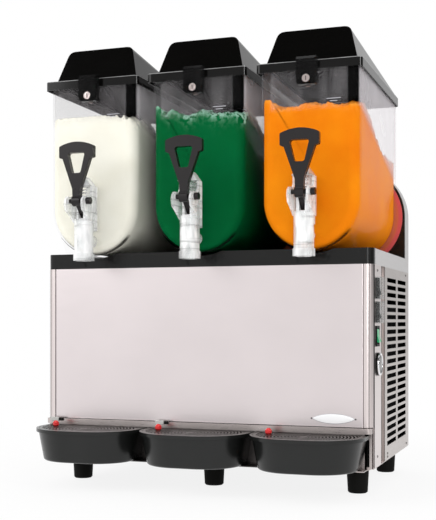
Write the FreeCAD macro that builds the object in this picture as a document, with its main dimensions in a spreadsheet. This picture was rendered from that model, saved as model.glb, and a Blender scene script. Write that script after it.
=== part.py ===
import FreeCAD, Part
import math
import os

import Sketcher
from FreeCAD import Vector

# Slush machine: a stainless cabinet with three clear bowls, their lids, taps and drip trays.
# Lengths are in millimetres. Each piece is drawn with x = 0 at the middle of the machine or
# of its own station, y = 0 at the front panel with +y to the rear, and z = 0 on the floor.

os.makedirs("parts", exist_ok=True)
doc = FreeCAD.newDocument("slush_machine")
sheet = doc.addObject("Spreadsheet::Sheet", "Sizes")


class Size:
    """A number together with the sheet formula that gives it."""

    def __init__(self, value, text):
        self.value = float(value)
        self.text = text

    def joined(self, other, sign, value):
        return Size(value, f"({self.text} {sign} {sized(other).text})")

    def __add__(self, other):
        return self.joined(other, "+", self.value + sized(other).value)

    def __sub__(self, other):
        return self.joined(other, "-", self.value - sized(other).value)

    def __mul__(self, other):
        return self.joined(other, "*", self.value * sized(other).value)

    def __truediv__(self, other):
        return self.joined(other, "/", self.value / sized(other).value)

    def __radd__(self, other):
        return sized(other) + self

    def __rsub__(self, other):
        return sized(other) - self

    def __rmul__(self, other):
        return sized(other) * self

    def __neg__(self):
        return sized(0) - self


def sized(number):
    return number if isinstance(number, Size) else Size(number, repr(float(number)))


def cosine(degrees):
    return Size(math.cos(math.radians(degrees.value)), f"cos({degrees.text})")


def sine(degrees):
    return Size(math.sin(math.radians(degrees.value)), f"sin({degrees.text})")


def tangent(degrees):
    return Size(math.tan(math.radians(degrees.value)), f"tan({degrees.text})")


cell_count = 0


def cell(alias, number):
    """Writes one driving size into the sheet and returns it."""
    global cell_count
    cell_count += 1
    sheet.set(f"A{cell_count}", alias)
    sheet.set(f"B{cell_count}", str(number))
    sheet.setAlias(f"B{cell_count}", alias)
    return Size(number, f"Sizes.{alias}")


# Cabinet
case_width = cell("case_width", 600)
case_depth = cell("case_depth", 365)
station_pitch = (case_width - cell("side_margin", 6)) / 3
sheet_metal = cell("sheet_metal", 1.5)
seat_gap = cell("seat_gap", 0.3)
running_clearance = cell("running_clearance", 0.05)
foot_height = cell("foot_height", 47.2)
panel_bottom = foot_height + cell("plinth_height", 70.3)
panel_top = panel_bottom + cell("panel_height", 269.9)
deck_top = panel_top + cell("fascia_height", 26.8)
post_width = cell("post_width", 15.5)
post_radius = cell("post_radius", 13)
panel_joint = cell("panel_joint", 0.5)
panel_return = cell("panel_return", 13.5)
strip_front = cell("strip_front", 12)
strip_rear = cell("strip_rear", 73)
groove_depth = cell("groove_depth", 6)
side_panel_front = cell("side_panel_front", 104)
louvre_rows = cell("louvre_rows", 23)
louvre_pitch = cell("louvre_pitch", 13.09)
louvre_height = cell("louvre_height", 7.8)
louvre_length = cell("louvre_length", 92)
louvre_first_z = foot_height + cell("louvre_start", 30.4)
louvre_front_y = cell("louvre_front_y", 130)
louvre_column_pitch = cell("louvre_column_pitch", 109)
vent_rows = cell("vent_rows", 12)
vent_pitch = cell("vent_pitch", 18)
vent_length = cell("vent_length", 130)
vent_first_z = foot_height + cell("vent_start", 72.8)
pan_flange = cell("pan_flange", 25)
shelf_reach = cell("shelf_reach", 25)
shelf_inset = cell("shelf_inset", 10)
ledge_bottom = panel_bottom - cell("ledge_drop", 10)
ledge_height = cell("ledge_height", 9)
ledge_reach = cell("ledge_reach", 8)
ledge_inset = cell("ledge_inset", 1.5)
ledge_corner = cell("ledge_corner", 7)
cheek_width = cell("cheek_width", 8.5)
cheek_inset = cell("cheek_inset", 2.5)
cheek_front = cell("cheek_front", 3)
cheek_corner = cell("cheek_corner", 6)
foot_radius = cell("foot_radius", 19.5)
foot_tip_radius = cell("foot_tip_radius", 17)
foot_edge = cell("foot_edge", 2)
foot_spread = case_width / 2 - cell("foot_inset", 39)
foot_front_y = cell("foot_front_y", 66)
foot_rear_y = case_depth - cell("foot_rear_inset", 35)

# Deck and tower
deck_thickness = cell("deck_thickness", 12)
deck_wall = cell("deck_wall", 4)
trough_clearance = cell("trough_clearance", 2.6)
latch_top_half = cell("latch_top_half", 30)
latch_bottom_half = cell("latch_bottom_half", 25)
latch_bottom = panel_top + cell("latch_rise", 4.1)
latch_height = cell("latch_height", 11)
latch_depth = cell("latch_depth", 2.5)
rail_thickness = cell("rail_thickness", 4)
fascia_return = cell("fascia_return", 20)
tower_front = case_depth - cell("tower_depth", 43)
face_thickness = cell("face_thickness", 3)

# Bowl
bowl_radius = station_pitch / 2 - cell("bowl_margin", 13.6)
bowl_axis = deck_top + bowl_radius - cell("trough_sink", 5.1)
bowl_wall = cell("bowl_wall", 3)
bowl_front = cell("bowl_front", -26)
bowl_rear = tower_front - cell("gasket_room", 6)
bowl_top = bowl_axis + cell("bowl_height", 225.2)
bowl_corner = cell("bowl_corner", 20)
flange_radius = station_pitch / 2 - cell("flange_margin", 0.5)
flange_thickness = cell("flange_thickness", 4)
leg_offset = bowl_radius * cell("leg_share", 0.761)
leg_thickness = cell("leg_thickness", 3)
leg_top = bowl_axis - bowl_radius * cell("leg_rise", 0.597)
leg_front = cell("leg_front", -12)
leg_slope = cell("leg_slope", 20)
leg_length = cell("leg_length", 24)
gasket_radius = bowl_radius + cell("gasket_width", 12.1)
evaporator_radius = bowl_radius - cell("evaporator_margin", 30.4)
evaporator_front = cell("evaporator_front", 48)
evaporator_wall = cell("evaporator_wall", 2)
evaporator_flange = evaporator_radius + cell("evaporator_rim", 11)

# Auger and its drive
shaft_radius = cell("shaft_radius", 7)
shaft_rear = case_depth - cell("shaft_rear_inset", 20)
auger_clearance = cell("auger_clearance", 2.5)
auger_tip_gap = cell("auger_tip_gap", 2.9)
blade_thickness = cell("blade_thickness", 4)
blade_turns = cell("blade_turns", 3)
blade_pitch = (tower_front - evaporator_front - cell("blade_end_room", 34)) / blade_turns
arm_half = cell("arm_half", 7)
arm_thickness = cell("arm_thickness", 8)
nose_radius = cell("nose_radius", 20)
nose_length = cell("nose_length", 40)
bar_depth = cell("bar_depth", 6)
bar_half = cell("bar_half", 3)
gearbox_half = cell("gearbox_half", 42)
gearbox_height = cell("gearbox_height", 86)
gearbox_depth = cell("gearbox_depth", 33)
motor_half = cell("motor_half", 31)
motor_height = cell("motor_height", 46)

# Tap
port_axis = bowl_axis - bowl_radius + cell("port_rise", 24.9)
spout_y = cell("spout_y", -57)
spout_radius = cell("spout_radius", 16.8)
spout_bottom = port_axis - cell("spout_drop", 36)
spout_collar = cell("spout_collar", 18.5)
collar_height = cell("collar_height", 12.5)
piston_radius = cell("piston_radius", 13.25)
piston_bottom = port_axis - cell("piston_drop", 14)
piston_top = port_axis + cell("piston_rise", 71)
spigot_radius = cell("spigot_radius", 5)
spigot_height = cell("spigot_height", 7)
port_radius = cell("port_radius", 9)
port_wall = cell("port_wall", 2)
yoke_bottom = port_axis + cell("yoke_rise", 30)
yoke_plate = cell("yoke_plate", 6)
yoke_inner = cell("yoke_inner", 14)
yoke_wall = cell("yoke_wall", 4)
roof_bottom = port_axis + cell("roof_rise", 94.5)
crest_top = roof_bottom + cell("crest_height", 15.5)
crest_half = cell("crest_half", 6.5)
crest_wall = cell("crest_wall", 5.5)
post_front = spout_y - cell("post_lead", 3.5)
post_rear = spout_y + cell("post_trail", 11)
spring_room = cell("spring_room", 8.7)
backplate = cell("backplate", 3)
backplate_half = cell("backplate_half", 11)
backplate_bottom = port_axis + cell("backplate_rise", 18)
neck_half = cell("neck_half", 5)
pin_y = cell("pin_y", -82)
pin_z = port_axis + cell("pin_rise", 66)
pin_radius = cell("pin_radius", 4)
pin_head_radius = cell("pin_head_radius", 6)
pin_head_length = cell("pin_head_length", 7.5)
ear_reach = cell("ear_reach", 16.5)
ear_top = pin_z + cell("ear_rise", 7.8)
hub_radius = cell("hub_radius", 9)
hub_half = cell("hub_half", 7.5)
lever_thickness = cell("lever_thickness", 10)
stem_foot_half = cell("stem_foot_half", 6.2)
stem_half = cell("stem_half", 7.5)
stem_top = pin_z + cell("stem_length", 21)
arm_top_half = cell("arm_top_half", 26)
head_half = cell("head_half", 32.5)
head_bottom = pin_z + cell("head_start", 75)
head_side_top = pin_z + cell("head_side", 94.5)
head_top = pin_z + cell("head_height", 102)
loop_top_half = cell("loop_top_half", 16.7)
loop_bottom_half = cell("loop_bottom_half", 8.2)
loop_bottom = pin_z + cell("loop_start", 48)
loop_top = pin_z + cell("loop_end", 83)
claw_reach = cell("claw_reach", 25)
claw_drop = cell("claw_drop", 23)
claw_radius = cell("claw_radius", 4)
window_play = cell("window_play", 0.4)
window_floor_play = cell("window_floor_play", 1.7)
spring_radius = cell("spring_radius", 7)
spring_wire = cell("spring_wire", 1.4)
spring_turns = cell("spring_turns", 6)

# Lid and lock
lid_overhang = cell("lid_overhang", 4.7)
lid_rear_overhang = cell("lid_rear_overhang", 5)
rim_bottom = bowl_top - cell("rim_skirt", 12.4)
rim_top = bowl_top + cell("rim_cover", 2.8)
rim_corner = cell("rim_corner", 8)
lid_wall = cell("lid_wall", 2.5)
dome_front = cell("dome_front", -9)
dome_rear = bowl_rear + cell("dome_tail_reach", 0)
dome_lean = cell("dome_lean", 21)
dome_height = cell("dome_height", 62.5)
dome_tail = cell("dome_tail", 3)
dome_base_half = bowl_radius - cell("dome_base_inset", 6.4)
dome_top_half = bowl_radius - cell("dome_top_inset", 23.4)
dome_tail_half = bowl_radius + cell("dome_tail_spread", 1.6)
dome_corner = cell("dome_corner", 11)
lock_half = cell("lock_half", 16.5)
lock_reach = cell("lock_reach", 16)
lock_bottom = bowl_top - cell("lock_drop", 38.5)
lock_top = bowl_top + cell("lock_rise", 7)
lock_hook = cell("lock_hook", 17)
lock_axis = bowl_top - cell("lock_centre", 29.7)
lock_radius = cell("lock_radius", 5.2)
lock_bezel = cell("lock_bezel", 6.5)
cam_half = cell("cam_half", 3.3)
cam_length = cell("cam_length", 11)
cam_thickness = cell("cam_thickness", 2.4)
catch_bottom = bowl_top - cell("catch_drop", 23.5)
catch_height = cell("catch_height", 3.7)

# Drip tray
tray_reach = cell("tray_reach", 110)
tray_rear_gap = cell("tray_rear_gap", 1)
tray_half = station_pitch / 2 - cell("tray_margin", 2.5)
tray_rim_width = cell("tray_rim_width", 3)
tray_rim_height = cell("tray_rim_height", 6)
tray_top = panel_bottom - cell("tray_drop", 12)
tray_wall = cell("tray_wall", 2.5)
tray_slope = cell("tray_slope", 10.5)
tray_corner = cell("tray_corner", 75)
grille_thickness = cell("grille_thickness", 3.5)
grille_seat = cell("grille_seat", 3.5)
grille_play = cell("grille_play", 0.5)
grille_rear = ledge_reach + cell("grille_ledge_gap", 0.8)
ring_first = cell("ring_first", 16)
ring_pitch = cell("ring_pitch", 11)
ring_slot = cell("ring_slot", 6)
float_x = -tray_half + cell("float_inset", 30.5)
float_y = cell("float_y", -36)
float_ball = cell("float_ball", 6)
float_stem = cell("float_stem", 2.5)
float_disc = cell("float_disc", 10)
float_disc_height = cell("float_disc_height", 8)
float_hole_play = cell("float_hole_play", 0.4)

# Controls on the right side
switch_y = cell("switch_y", 35.5)
switch_half_width = cell("switch_half_width", 13.5)
switch_half_height = cell("switch_half_height", 17.2)
switch_top_z = panel_top - cell("switch_drop", 39.4)
switch_pitch = cell("switch_pitch", 40)
switch_depth = cell("switch_depth", 24)
switch_flange = cell("switch_flange", 2)
switch_border = cell("switch_border", 2.5)
rocker_tilt = cell("rocker_tilt", 10)
rocker_sink = cell("rocker_sink", 1)
rocker_nose = cell("rocker_nose", 5)
rocker_waist = cell("rocker_waist", 3.6)
rocker_play = cell("rocker_play", 0.5)
cover_depth = cell("cover_depth", 10.4)
cover_wall = cell("cover_wall", 1.2)
knob_z = panel_top - cell("knob_drop", 166.4)
knob_y = cell("knob_y", 40)
knob_radius = cell("knob_radius", 19.5)
knob_ring = cell("knob_ring", 15.8)
knob_height = cell("knob_height", 5.5)
knob_shaft = cell("knob_shaft", 4)

# Cooling unit in the cabinet
pot_x = -case_width * cell("pot_share", 0.275)
pot_y = cell("pot_y", 205)
pot_radius = cell("pot_radius", 72)
pot_height = cell("pot_height", 150)
pot_foot = cell("pot_foot", 12)
coil_x = case_width / 2 - cell("coil_inset", 60)
coil_thickness = cell("coil_thickness", 44)
coil_front = cell("coil_front", 112)
coil_length = case_depth - cell("coil_margin", 125)
coil_height = cell("coil_height", 270)
fin_count = cell("fin_count", 14)
fin_gap = cell("fin_gap", 6)
fan_radius = cell("fan_radius", 96)
fan_ring = cell("fan_ring", 101)
fan_hub = cell("fan_hub", 24)
fan_blades = cell("fan_blades", 5)
fan_pitch_angle = cell("fan_pitch_angle", 32)
blade_chord = cell("blade_chord", 40)
fan_sheet = cell("fan_sheet", 2)
shroud_depth = cell("shroud_depth", 32)
fan_motor_radius = cell("fan_motor_radius", 34)
fan_motor_length = cell("fan_motor_length", 46)
pipe_radius = cell("pipe_radius", 5)
pipe_bend = cell("pipe_bend", 22)
drier_radius = cell("drier_radius", 14)
drier_length = cell("drier_length", 90)

doc.recompute()

half_width = case_width / 2
inner_half = half_width - sheet_metal
rear_inner = case_depth - sheet_metal
middle_y = (tray_reach - case_depth) / 2
pan_top = foot_height + sheet_metal
blade_inner = evaporator_radius + auger_clearance
blade_outer = bowl_radius - bowl_wall - auger_tip_gap
bowl_inner = bowl_radius - bowl_wall
trough_radius = bowl_radius + trough_clearance
tower_radius = half_width - station_pitch
STATIONS = {"left": -1, "middle": 0, "right": 1}
SIDES = (-1, 1)

AXES = {"x": "YZ_Plane", "y": "XZ_Plane", "z": "XY_Plane"}
nodes = []


def new_body(label):
    body = doc.addObject("PartDesign::Body", label)
    body.Label = label
    return body


def origin_part(body, role):
    return next(part for part in body.Origin.OriginFeatures if part.Role == role)


def bind(owner, name, size):
    """Ties a property to the sheet."""
    owner.setExpression(name, sized(size).text)


def hold_point(sketch, edge, point, x, y):
    """Holds a point of a sketch by its two distances from the sketch's origin."""
    for kind, size in (("DistanceX", sized(x)), ("DistanceY", sized(y))):
        number = sketch.addConstraint(Sketcher.Constraint(kind, -1, 1, edge, point, size.value))
        bind(sketch, f"Constraints[{number}]", size)


def circle(sketch, x, y, radius):
    centre = Vector(sized(x).value, sized(y).value, 0)
    radius = sized(radius)
    edge = sketch.addGeometry(Part.Circle(centre, Vector(0, 0, 1), radius.value))
    hold_point(sketch, edge, 3, x, y)
    number = sketch.addConstraint(Sketcher.Constraint("Radius", edge, radius.value))
    bind(sketch, f"Constraints[{number}]", radius)


def outline(sketch, corners):
    """A closed outline of straight runs, each corner held from the origin."""
    first = sketch.GeometryCount
    points = [Vector(sized(x).value, sized(y).value, 0) for x, y in corners]
    count = len(points)
    for n in range(count):
        sketch.addGeometry(Part.LineSegment(points[n], points[(n + 1) % count]))
    for n in range(count):
        after = first + (n + 1) % count
        sketch.addConstraint(Sketcher.Constraint("Coincident", first + n, 2, after, 1))
    for n, (x, y) in enumerate(corners):
        hold_point(sketch, first + n, 1, x, y)


def rectangle(sketch, x_low, x_high, y_low, y_high):
    outline(sketch, [(x_low, y_low), (x_high, y_low), (x_high, y_high), (x_low, y_high)])


def tray_outline(sketch, half, front, rear, radius):
    """A plan with a square rear edge and two rounded front corners."""
    places = [(half, rear), (-half, rear), (-half, front + radius), (radius - half, front),
              (half - radius, front), (half, front + radius)]
    corners = [Vector(sized(x).value, sized(y).value, 0) for x, y in places]
    count = len(corners)
    first = sketch.GeometryCount
    for n, corner in enumerate(corners):
        after = corners[(n + 1) % count]
        if n in (2, 4):
            way = -1 if n == 2 else 1
            centre = Vector((half - radius).value * way, (front + radius).value, 0)
            arc = Part.Circle(centre, Vector(0, 0, 1), radius.value)
            start = math.pi if n == 2 else 1.5 * math.pi
            sketch.addGeometry(Part.ArcOfCircle(arc, start, start + math.pi / 2))
            number = sketch.addConstraint(Sketcher.Constraint("Radius", first + n, radius.value))
            bind(sketch, f"Constraints[{number}]", radius)
        else:
            sketch.addGeometry(Part.LineSegment(corner, after))
    for n, (x, y) in enumerate(places):
        after = first + (n + 1) % count
        sketch.addConstraint(Sketcher.Constraint("Coincident", first + n, 2, after, 1))
        hold_point(sketch, first + n, 1, x, y)


def ring_sector(sketch, radius_in, radius_out, start, stop, x, y):
    """One curved slot between two radii and two angles about a centre, ends square to it."""
    angles = [math.radians(sized(a).value) for a in (start, stop)]
    centre = Vector(sized(x).value, sized(y).value, 0)
    edges = []
    for radius in (radius_in, radius_out):
        round_edge = Part.Circle(centre, Vector(0, 0, 1), sized(radius).value)
        edges.append(sketch.addGeometry(Part.ArcOfCircle(round_edge, *angles)))
    inner, outer = edges
    ends = []
    for angle in angles:
        way = Vector(math.cos(angle), math.sin(angle), 0)
        near, far = (centre + way * sized(r).value for r in (radius_in, radius_out))
        ends.append(sketch.addGeometry(Part.LineSegment(near, far)))
    for n, end in enumerate(ends):
        sketch.addConstraint(Sketcher.Constraint("Coincident", end, 1, inner, n + 1))
        sketch.addConstraint(Sketcher.Constraint("Coincident", end, 2, outer, n + 1))
        size = sized((start, stop)[n])
        number = sketch.addConstraint(Sketcher.Constraint("Angle", -1, 1, end, 1, angles[n]))
        bind(sketch, f"Constraints[{number}]", size)
    sketch.addConstraint(Sketcher.Constraint("Coincident", inner, 3, outer, 3))
    hold_point(sketch, inner, 3, x, y)
    for edge, radius in ((inner, radius_in), (outer, radius_out)):
        number = sketch.addConstraint(Sketcher.Constraint("Radius", edge, sized(radius).value))
        bind(sketch, f"Constraints[{number}]", radius)
    sketch.addConstraint(Sketcher.Constraint("PointOnObject", inner, 3, ends[0]))


def sketch_at(body, axis, place, draw):
    """A sketch square to an axis, at a place along it. Its own axes are the other two."""
    sketch = body.newObject("Sketcher::SketchObject", "Outline")
    sketch.AttachmentSupport = [(origin_part(body, AXES[axis]), "")]
    sketch.MapMode = "FlatFace"
    lift = -sized(place) if axis == "y" else sized(place)
    sketch.AttachmentOffset = FreeCAD.Placement(Vector(0, 0, lift.value), FreeCAD.Rotation())
    bind(sketch, "AttachmentOffset.Base.z", lift)
    draw(sketch)
    return sketch


def volume_of(body):
    doc.recompute()
    return body.Shape.Volume


def prism(body, axis, low, high, draw, slope=None):
    """Adds what an outline sweeps from low to high along an axis."""
    start = high if axis == "y" else low
    feature_sketch = sketch_at(body, axis, start, draw)
    feature = body.newObject("PartDesign::Pad", "Pad")
    feature.Profile = feature_sketch
    bind(feature, "Length", sized(high) - sized(low))
    if slope is not None:
        bind(feature, "TaperAngle", slope)
    return feature


def cut(body, axis, low, high, draw, slope=None):
    """Takes away what an outline sweeps from low to high along an axis."""
    before = volume_of(body)
    start = low if axis == "y" else high
    feature_sketch = sketch_at(body, axis, start, draw)
    feature = body.newObject("PartDesign::Pocket", "Pocket")
    feature.Profile = feature_sketch
    bind(feature, "Length", sized(high) - sized(low))
    if slope is not None:
        bind(feature, "TaperAngle", slope)
    if not volume_of(body) < before - 0.01:
        raise ValueError(f"a cut in {body.Label} takes nothing away")
    return feature


def turned(body, corners, plane="y", axis="V_Axis"):
    """Adds a solid of revolution. The corners are (radius, height) pairs."""
    feature = body.newObject("PartDesign::Revolution", "Revolution")
    profile = sketch_at(body, plane, 0, lambda s: outline(s, corners))
    feature.Profile = profile
    feature.ReferenceAxis = (profile, [axis])
    feature.Angle = 360
    body.Tip = feature
    return feature


def repeated(body, feature, axis, length, count):
    """Repeats a feature along one of the body's axes, over a length."""
    pattern = body.newObject("PartDesign::LinearPattern", "Row")
    pattern.Originals = [feature]
    pattern.Direction = (origin_part(body, axis), [""])
    bind(pattern, "Length", length)
    bind(pattern, "Occurrences", count)
    body.Tip = pattern
    return pattern


def runs_along(edge, axis):
    """Whether an edge is straight and parallel to an axis."""
    if not isinstance(edge.Curve, Part.Line):
        return False
    way = edge.Curve.Direction
    return abs(abs({"x": way.x, "y": way.y, "z": way.z}[axis]) - 1) < 1e-6


def edge_at(axis, places):
    """A test for straight edges along an axis that pass through one of the given places."""
    wanted = [(sized(a).value, sized(b).value) for a, b in places]

    def test(edge):
        if not runs_along(edge, axis):
            return False
        p = edge.CenterOfMass
        at = {"x": (p.y, p.z), "y": (p.x, p.z), "z": (p.x, p.y)}[axis]
        return any(abs(at[0] - a) < 0.02 and abs(at[1] - b) < 0.02 for a, b in wanted)

    return test


def rounded(body, radius, test):
    """Rounds the edges that pass a test."""
    doc.recompute()
    base = body.Tip
    names = [f"Edge{n}" for n, edge in enumerate(base.Shape.Edges, 1) if test(edge)]
    if not names:
        raise ValueError(f"no edge of {body.Label} passes the test")
    feature = body.newObject("PartDesign::Fillet", "Rounding")
    feature.Base = (base, names)
    bind(feature, "Radius", radius)
    doc.recompute()
    if not feature.isValid():
        raise ValueError(f"a rounding of {body.Label} fails: {feature.getStatusString()}")
    return feature


def placed(piece, x=0, z=0):
    """Stands a finished piece in the machine's frame and lists it as a sub-part."""
    bind(piece, "Placement.Base.x", x)
    bind(piece, "Placement.Base.y", middle_y)
    bind(piece, "Placement.Base.z", z)
    nodes.append(piece)
    return piece


def mirrored_span(side, low, high):
    """A span of x on the right side, or its mirror image on the left."""
    return (sized(low), sized(high)) if side > 0 else (-sized(high), -sized(low))


def station_x(side):
    return station_pitch * side


# Base pan with the tray shelf, the ledge over the trays and a cheek at each end
def base_frame():
    body = new_body("base_frame")
    shelf_half = half_width - shelf_inset
    wall_half = half_width - cheek_inset - cheek_width - 3
    cheek_outer = half_width - cheek_inset
    for side in SIDES:
        low, high = mirrored_span(side, cheek_outer - cheek_width, cheek_outer)
        prism(body, "y", cheek_front, strip_front + 2 * sheet_metal,
              lambda s: rectangle(s, low, high, foot_height, ledge_bottom))
        outer = high if side > 0 else low
        rounded(body, cheek_corner, edge_at("y", [(outer, foot_height)]))
    prism(body, "z", foot_height, pan_top,
          lambda s: rectangle(s, -inner_half, inner_half, strip_front + 2, rear_inner))
    prism(body, "z", foot_height, pan_top,
          lambda s: rectangle(s, -shelf_half, shelf_half, -shelf_reach, strip_front + 2))
    prism(body, "y", 0, sheet_metal,
          lambda s: rectangle(s, -wall_half, wall_half, pan_top, ledge_bottom))
    ledge_half = half_width - ledge_inset
    ledge_top = ledge_bottom + ledge_height
    prism(body, "z", ledge_bottom, ledge_top,
          lambda s: rectangle(s, -ledge_half, ledge_half, -ledge_reach, strip_front))
    rounded(body, ledge_corner,
            edge_at("z", [(-ledge_half, -ledge_reach), (ledge_half, -ledge_reach)]))
    for side in SIDES:
        low, high = mirrored_span(side, inner_half - sheet_metal, inner_half)
        prism(body, "z", pan_top, pan_top + pan_flange,
              lambda s: rectangle(s, low, high, side_panel_front + 4, rear_inner))
    prism(body, "z", pan_top, pan_top + pan_flange,
          lambda s: rectangle(s, sheet_metal - inner_half, inner_half - sheet_metal,
                              rear_inner - sheet_metal, rear_inner))
    return placed(body)


# Flat front panel, a shallow pan open to the rear
def front_panel():
    body = new_body("front_panel")
    panel_half = half_width - post_width - panel_joint
    prism(body, "y", 0, panel_return,
          lambda s: rectangle(s, -panel_half, panel_half, panel_bottom, panel_top))
    rounded(body, sheet_metal * 1.5, edge_at("z", [(-panel_half, 0), (panel_half, 0)]))
    cut(body, "y", sheet_metal, panel_return,
        lambda s: rectangle(s, sheet_metal - panel_half, panel_half - sheet_metal,
                            panel_bottom + sheet_metal, panel_top - sheet_metal))
    return placed(body)


def switch_z(number):
    return switch_top_z - switch_pitch * number


# Rounded corner posts, each folded back into a side strip and a groove
def corner_posts():
    body = new_body("corner_posts")
    floor_x = half_width - groove_depth
    for side in SIDES:
        corners = [
            (half_width - post_width, 0),
            (half_width, 0),
            (half_width, strip_rear),
            (floor_x, strip_rear),
            (floor_x, side_panel_front + 2),
            (floor_x - sheet_metal, side_panel_front + 2),
            (floor_x - sheet_metal, strip_rear - sheet_metal),
            (inner_half, strip_rear - sheet_metal),
            (inner_half, sheet_metal),
            (half_width - post_width, sheet_metal),
        ]
        prism(body, "z", pan_top, panel_top,
              lambda s: outline(s, [(x * side, y) for x, y in corners]))
        low, high = mirrored_span(side, half_width - post_width - 1, half_width + 1)
        cut(body, "z", pan_top, panel_bottom,
            lambda s: rectangle(s, low, high, -1, strip_front))
        rounded(body, post_radius, edge_at("z", [(half_width * side, 0)]))
        rounded(body, post_radius - sheet_metal, edge_at("z", [(inner_half * side, sheet_metal)]))
    opening = switch_half_width - switch_border + rocker_play
    for number in range(3):
        middle = switch_z(number)
        cut(body, "x", inner_half - 1, half_width + 1,
            lambda s: rectangle(s, switch_y - opening, switch_y + opening,
                                middle - switch_half_height + 2, middle + switch_half_height - 2))
    cut(body, "x", inner_half - 1, half_width + 1,
        lambda s: circle(s, knob_y, knob_z, knob_shaft + running_clearance))
    return placed(body)


# Side panels with two columns of louvre slots and a folded front edge
def side_panels():
    body = new_body("side_panels")
    for side in SIDES:
        low, high = mirrored_span(side, inner_half, half_width)
        prism(body, "x", low, high,
              lambda s: rectangle(s, side_panel_front, rear_inner, pan_top, panel_top))
        low, high = mirrored_span(side, half_width - groove_depth + 1, inner_half)
        prism(body, "x", low, high,
              lambda s: rectangle(s, side_panel_front, side_panel_front + sheet_metal,
                                  pan_top, panel_top))

    def slots(sketch):
        for column in range(2):
            front = louvre_front_y + louvre_column_pitch * column
            rectangle(sketch, front, front + louvre_length,
                      louvre_first_z - louvre_height / 2, louvre_first_z + louvre_height / 2)

    row = cut(body, "x", -half_width - 1, half_width + 1, slots)
    repeated(body, row, "Z_Axis", louvre_pitch * (louvre_rows - 1), louvre_rows)
    return placed(body)


# Rear panel with vent slots
def rear_panel():
    body = new_body("rear_panel")
    prism(body, "y", rear_inner, case_depth,
          lambda s: rectangle(s, -half_width, half_width, pan_top, panel_top))

    def slots(sketch):
        for side in SIDES:
            low, high = mirrored_span(side, vent_length * 0.2, vent_length * 1.2)
            rectangle(sketch, low, high, vent_first_z, vent_first_z + louvre_height)

    row = cut(body, "y", rear_inner - 1, case_depth + 1, slots)
    repeated(body, row, "Z_Axis", vent_pitch * (vent_rows - 1), vent_rows)
    return placed(body)


# Black deck: a fascia with rounded corners, a trough and a latch recess under each bowl
def deck():
    body = new_body("deck")
    inner = half_width - rail_thickness
    corners = [(-half_width, 0), (half_width, 0), (half_width, fascia_return),
               (inner, fascia_return), (inner, tower_front), (-inner, tower_front),
               (-inner, fascia_return), (-half_width, fascia_return)]
    prism(body, "z", panel_top, deck_top, lambda s: outline(s, corners))
    rounded(body, post_radius, edge_at("z", [(-half_width, 0), (half_width, 0)]))
    cut(body, "z", panel_top, deck_top - deck_thickness,
        lambda s: rectangle(s, deck_wall - inner, inner - deck_wall,
                            deck_wall, tower_front - deck_wall))
    for side in STATIONS.values():
        x = station_x(side)
        cut(body, "y", -1, tower_front + 1, lambda s: circle(s, x, bowl_axis, trough_radius))
        top = latch_bottom + latch_height
        cut(body, "y", -1, latch_depth,
            lambda s: outline(s, [(x - latch_top_half, top), (x - latch_bottom_half, latch_bottom),
                                  (x + latch_bottom_half, latch_bottom),
                                  (x + latch_top_half, top)]))
    return placed(body)


# Light grey rails along the deck's sides
def side_rails():
    body = new_body("side_rails")
    for side in SIDES:
        low, high = mirrored_span(side, half_width - rail_thickness, half_width)
        prism(body, "x", low, high,
              lambda s: rectangle(s, fascia_return, tower_front + face_thickness,
                                  panel_top, deck_top))
        rounded(body, 1.2, edge_at("y", [(half_width * side, deck_top)]))
    return placed(body)


def scallops(sketch, radius):
    for side in STATIONS.values():
        circle(sketch, station_x(side), bowl_axis, radius)


def tower_solid(body, low, high, inset, bottom):
    """The tower's outline: three round scallops over a straight base."""
    for side in STATIONS.values():
        prism(body, "y", low, high,
              lambda s: circle(s, station_x(side), bowl_axis, tower_radius - inset))
    prism(body, "y", low, high,
          lambda s: rectangle(s, inset - half_width, half_width - inset, bottom, bowl_axis))


# Grey shell of the rear tower, open to the front
def tower_shell():
    body = new_body("tower_shell")
    front = tower_front + face_thickness
    tower_solid(body, front, case_depth, sized(0), panel_top)
    for side in STATIONS.values():
        cut(body, "y", front, rear_inner,
            lambda s: circle(s, station_x(side), bowl_axis, tower_radius - sheet_metal))
    cut(body, "y", front, rear_inner,
        lambda s: rectangle(s, -inner_half, inner_half, panel_top + sheet_metal, bowl_axis))
    return placed(body)


# Black face of the tower, with a hole for each shaft
def tower_face():
    body = new_body("tower_face")
    tower_solid(body, tower_front, tower_front + face_thickness, sized(0.5), deck_top)
    cut(body, "y", tower_front - 1, tower_front + face_thickness + 1,
        lambda s: scallops(s, shaft_radius * 2))
    return placed(body)


# Six tapered rubber feet
def feet():
    body = new_body("feet")
    for y in (foot_front_y, foot_rear_y):
        for side in STATIONS.values():
            x = foot_spread * side
            prism(body, "z", foot_edge, foot_height,
                  lambda s: circle(s, x, y, foot_tip_radius),
                  slope=sized(math.degrees(math.atan2(2.5, 45.2))))
            prism(body, "z", 0, foot_edge, lambda s: circle(s, x, y, foot_tip_radius - foot_edge),
                  slope=sized(45))
    return placed(body)


# Evaporator cylinders: closed front, rear flange and a tube for the shaft
def evaporators():
    body = new_body("evaporators")
    bore = shaft_radius + running_clearance
    prism(body, "y", evaporator_front, tower_front, lambda s: scallops(s, evaporator_radius))
    prism(body, "y", tower_front - evaporator_wall * 2, tower_front,
          lambda s: scallops(s, evaporator_flange))

    def jacket(sketch):
        scallops(sketch, evaporator_radius - evaporator_wall)
        scallops(sketch, bore + evaporator_wall)

    cut(body, "y", evaporator_front + evaporator_wall, tower_front, jacket)
    cut(body, "y", evaporator_front - 1, tower_front + 1, lambda s: scallops(s, bore))
    return placed(body)


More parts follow.
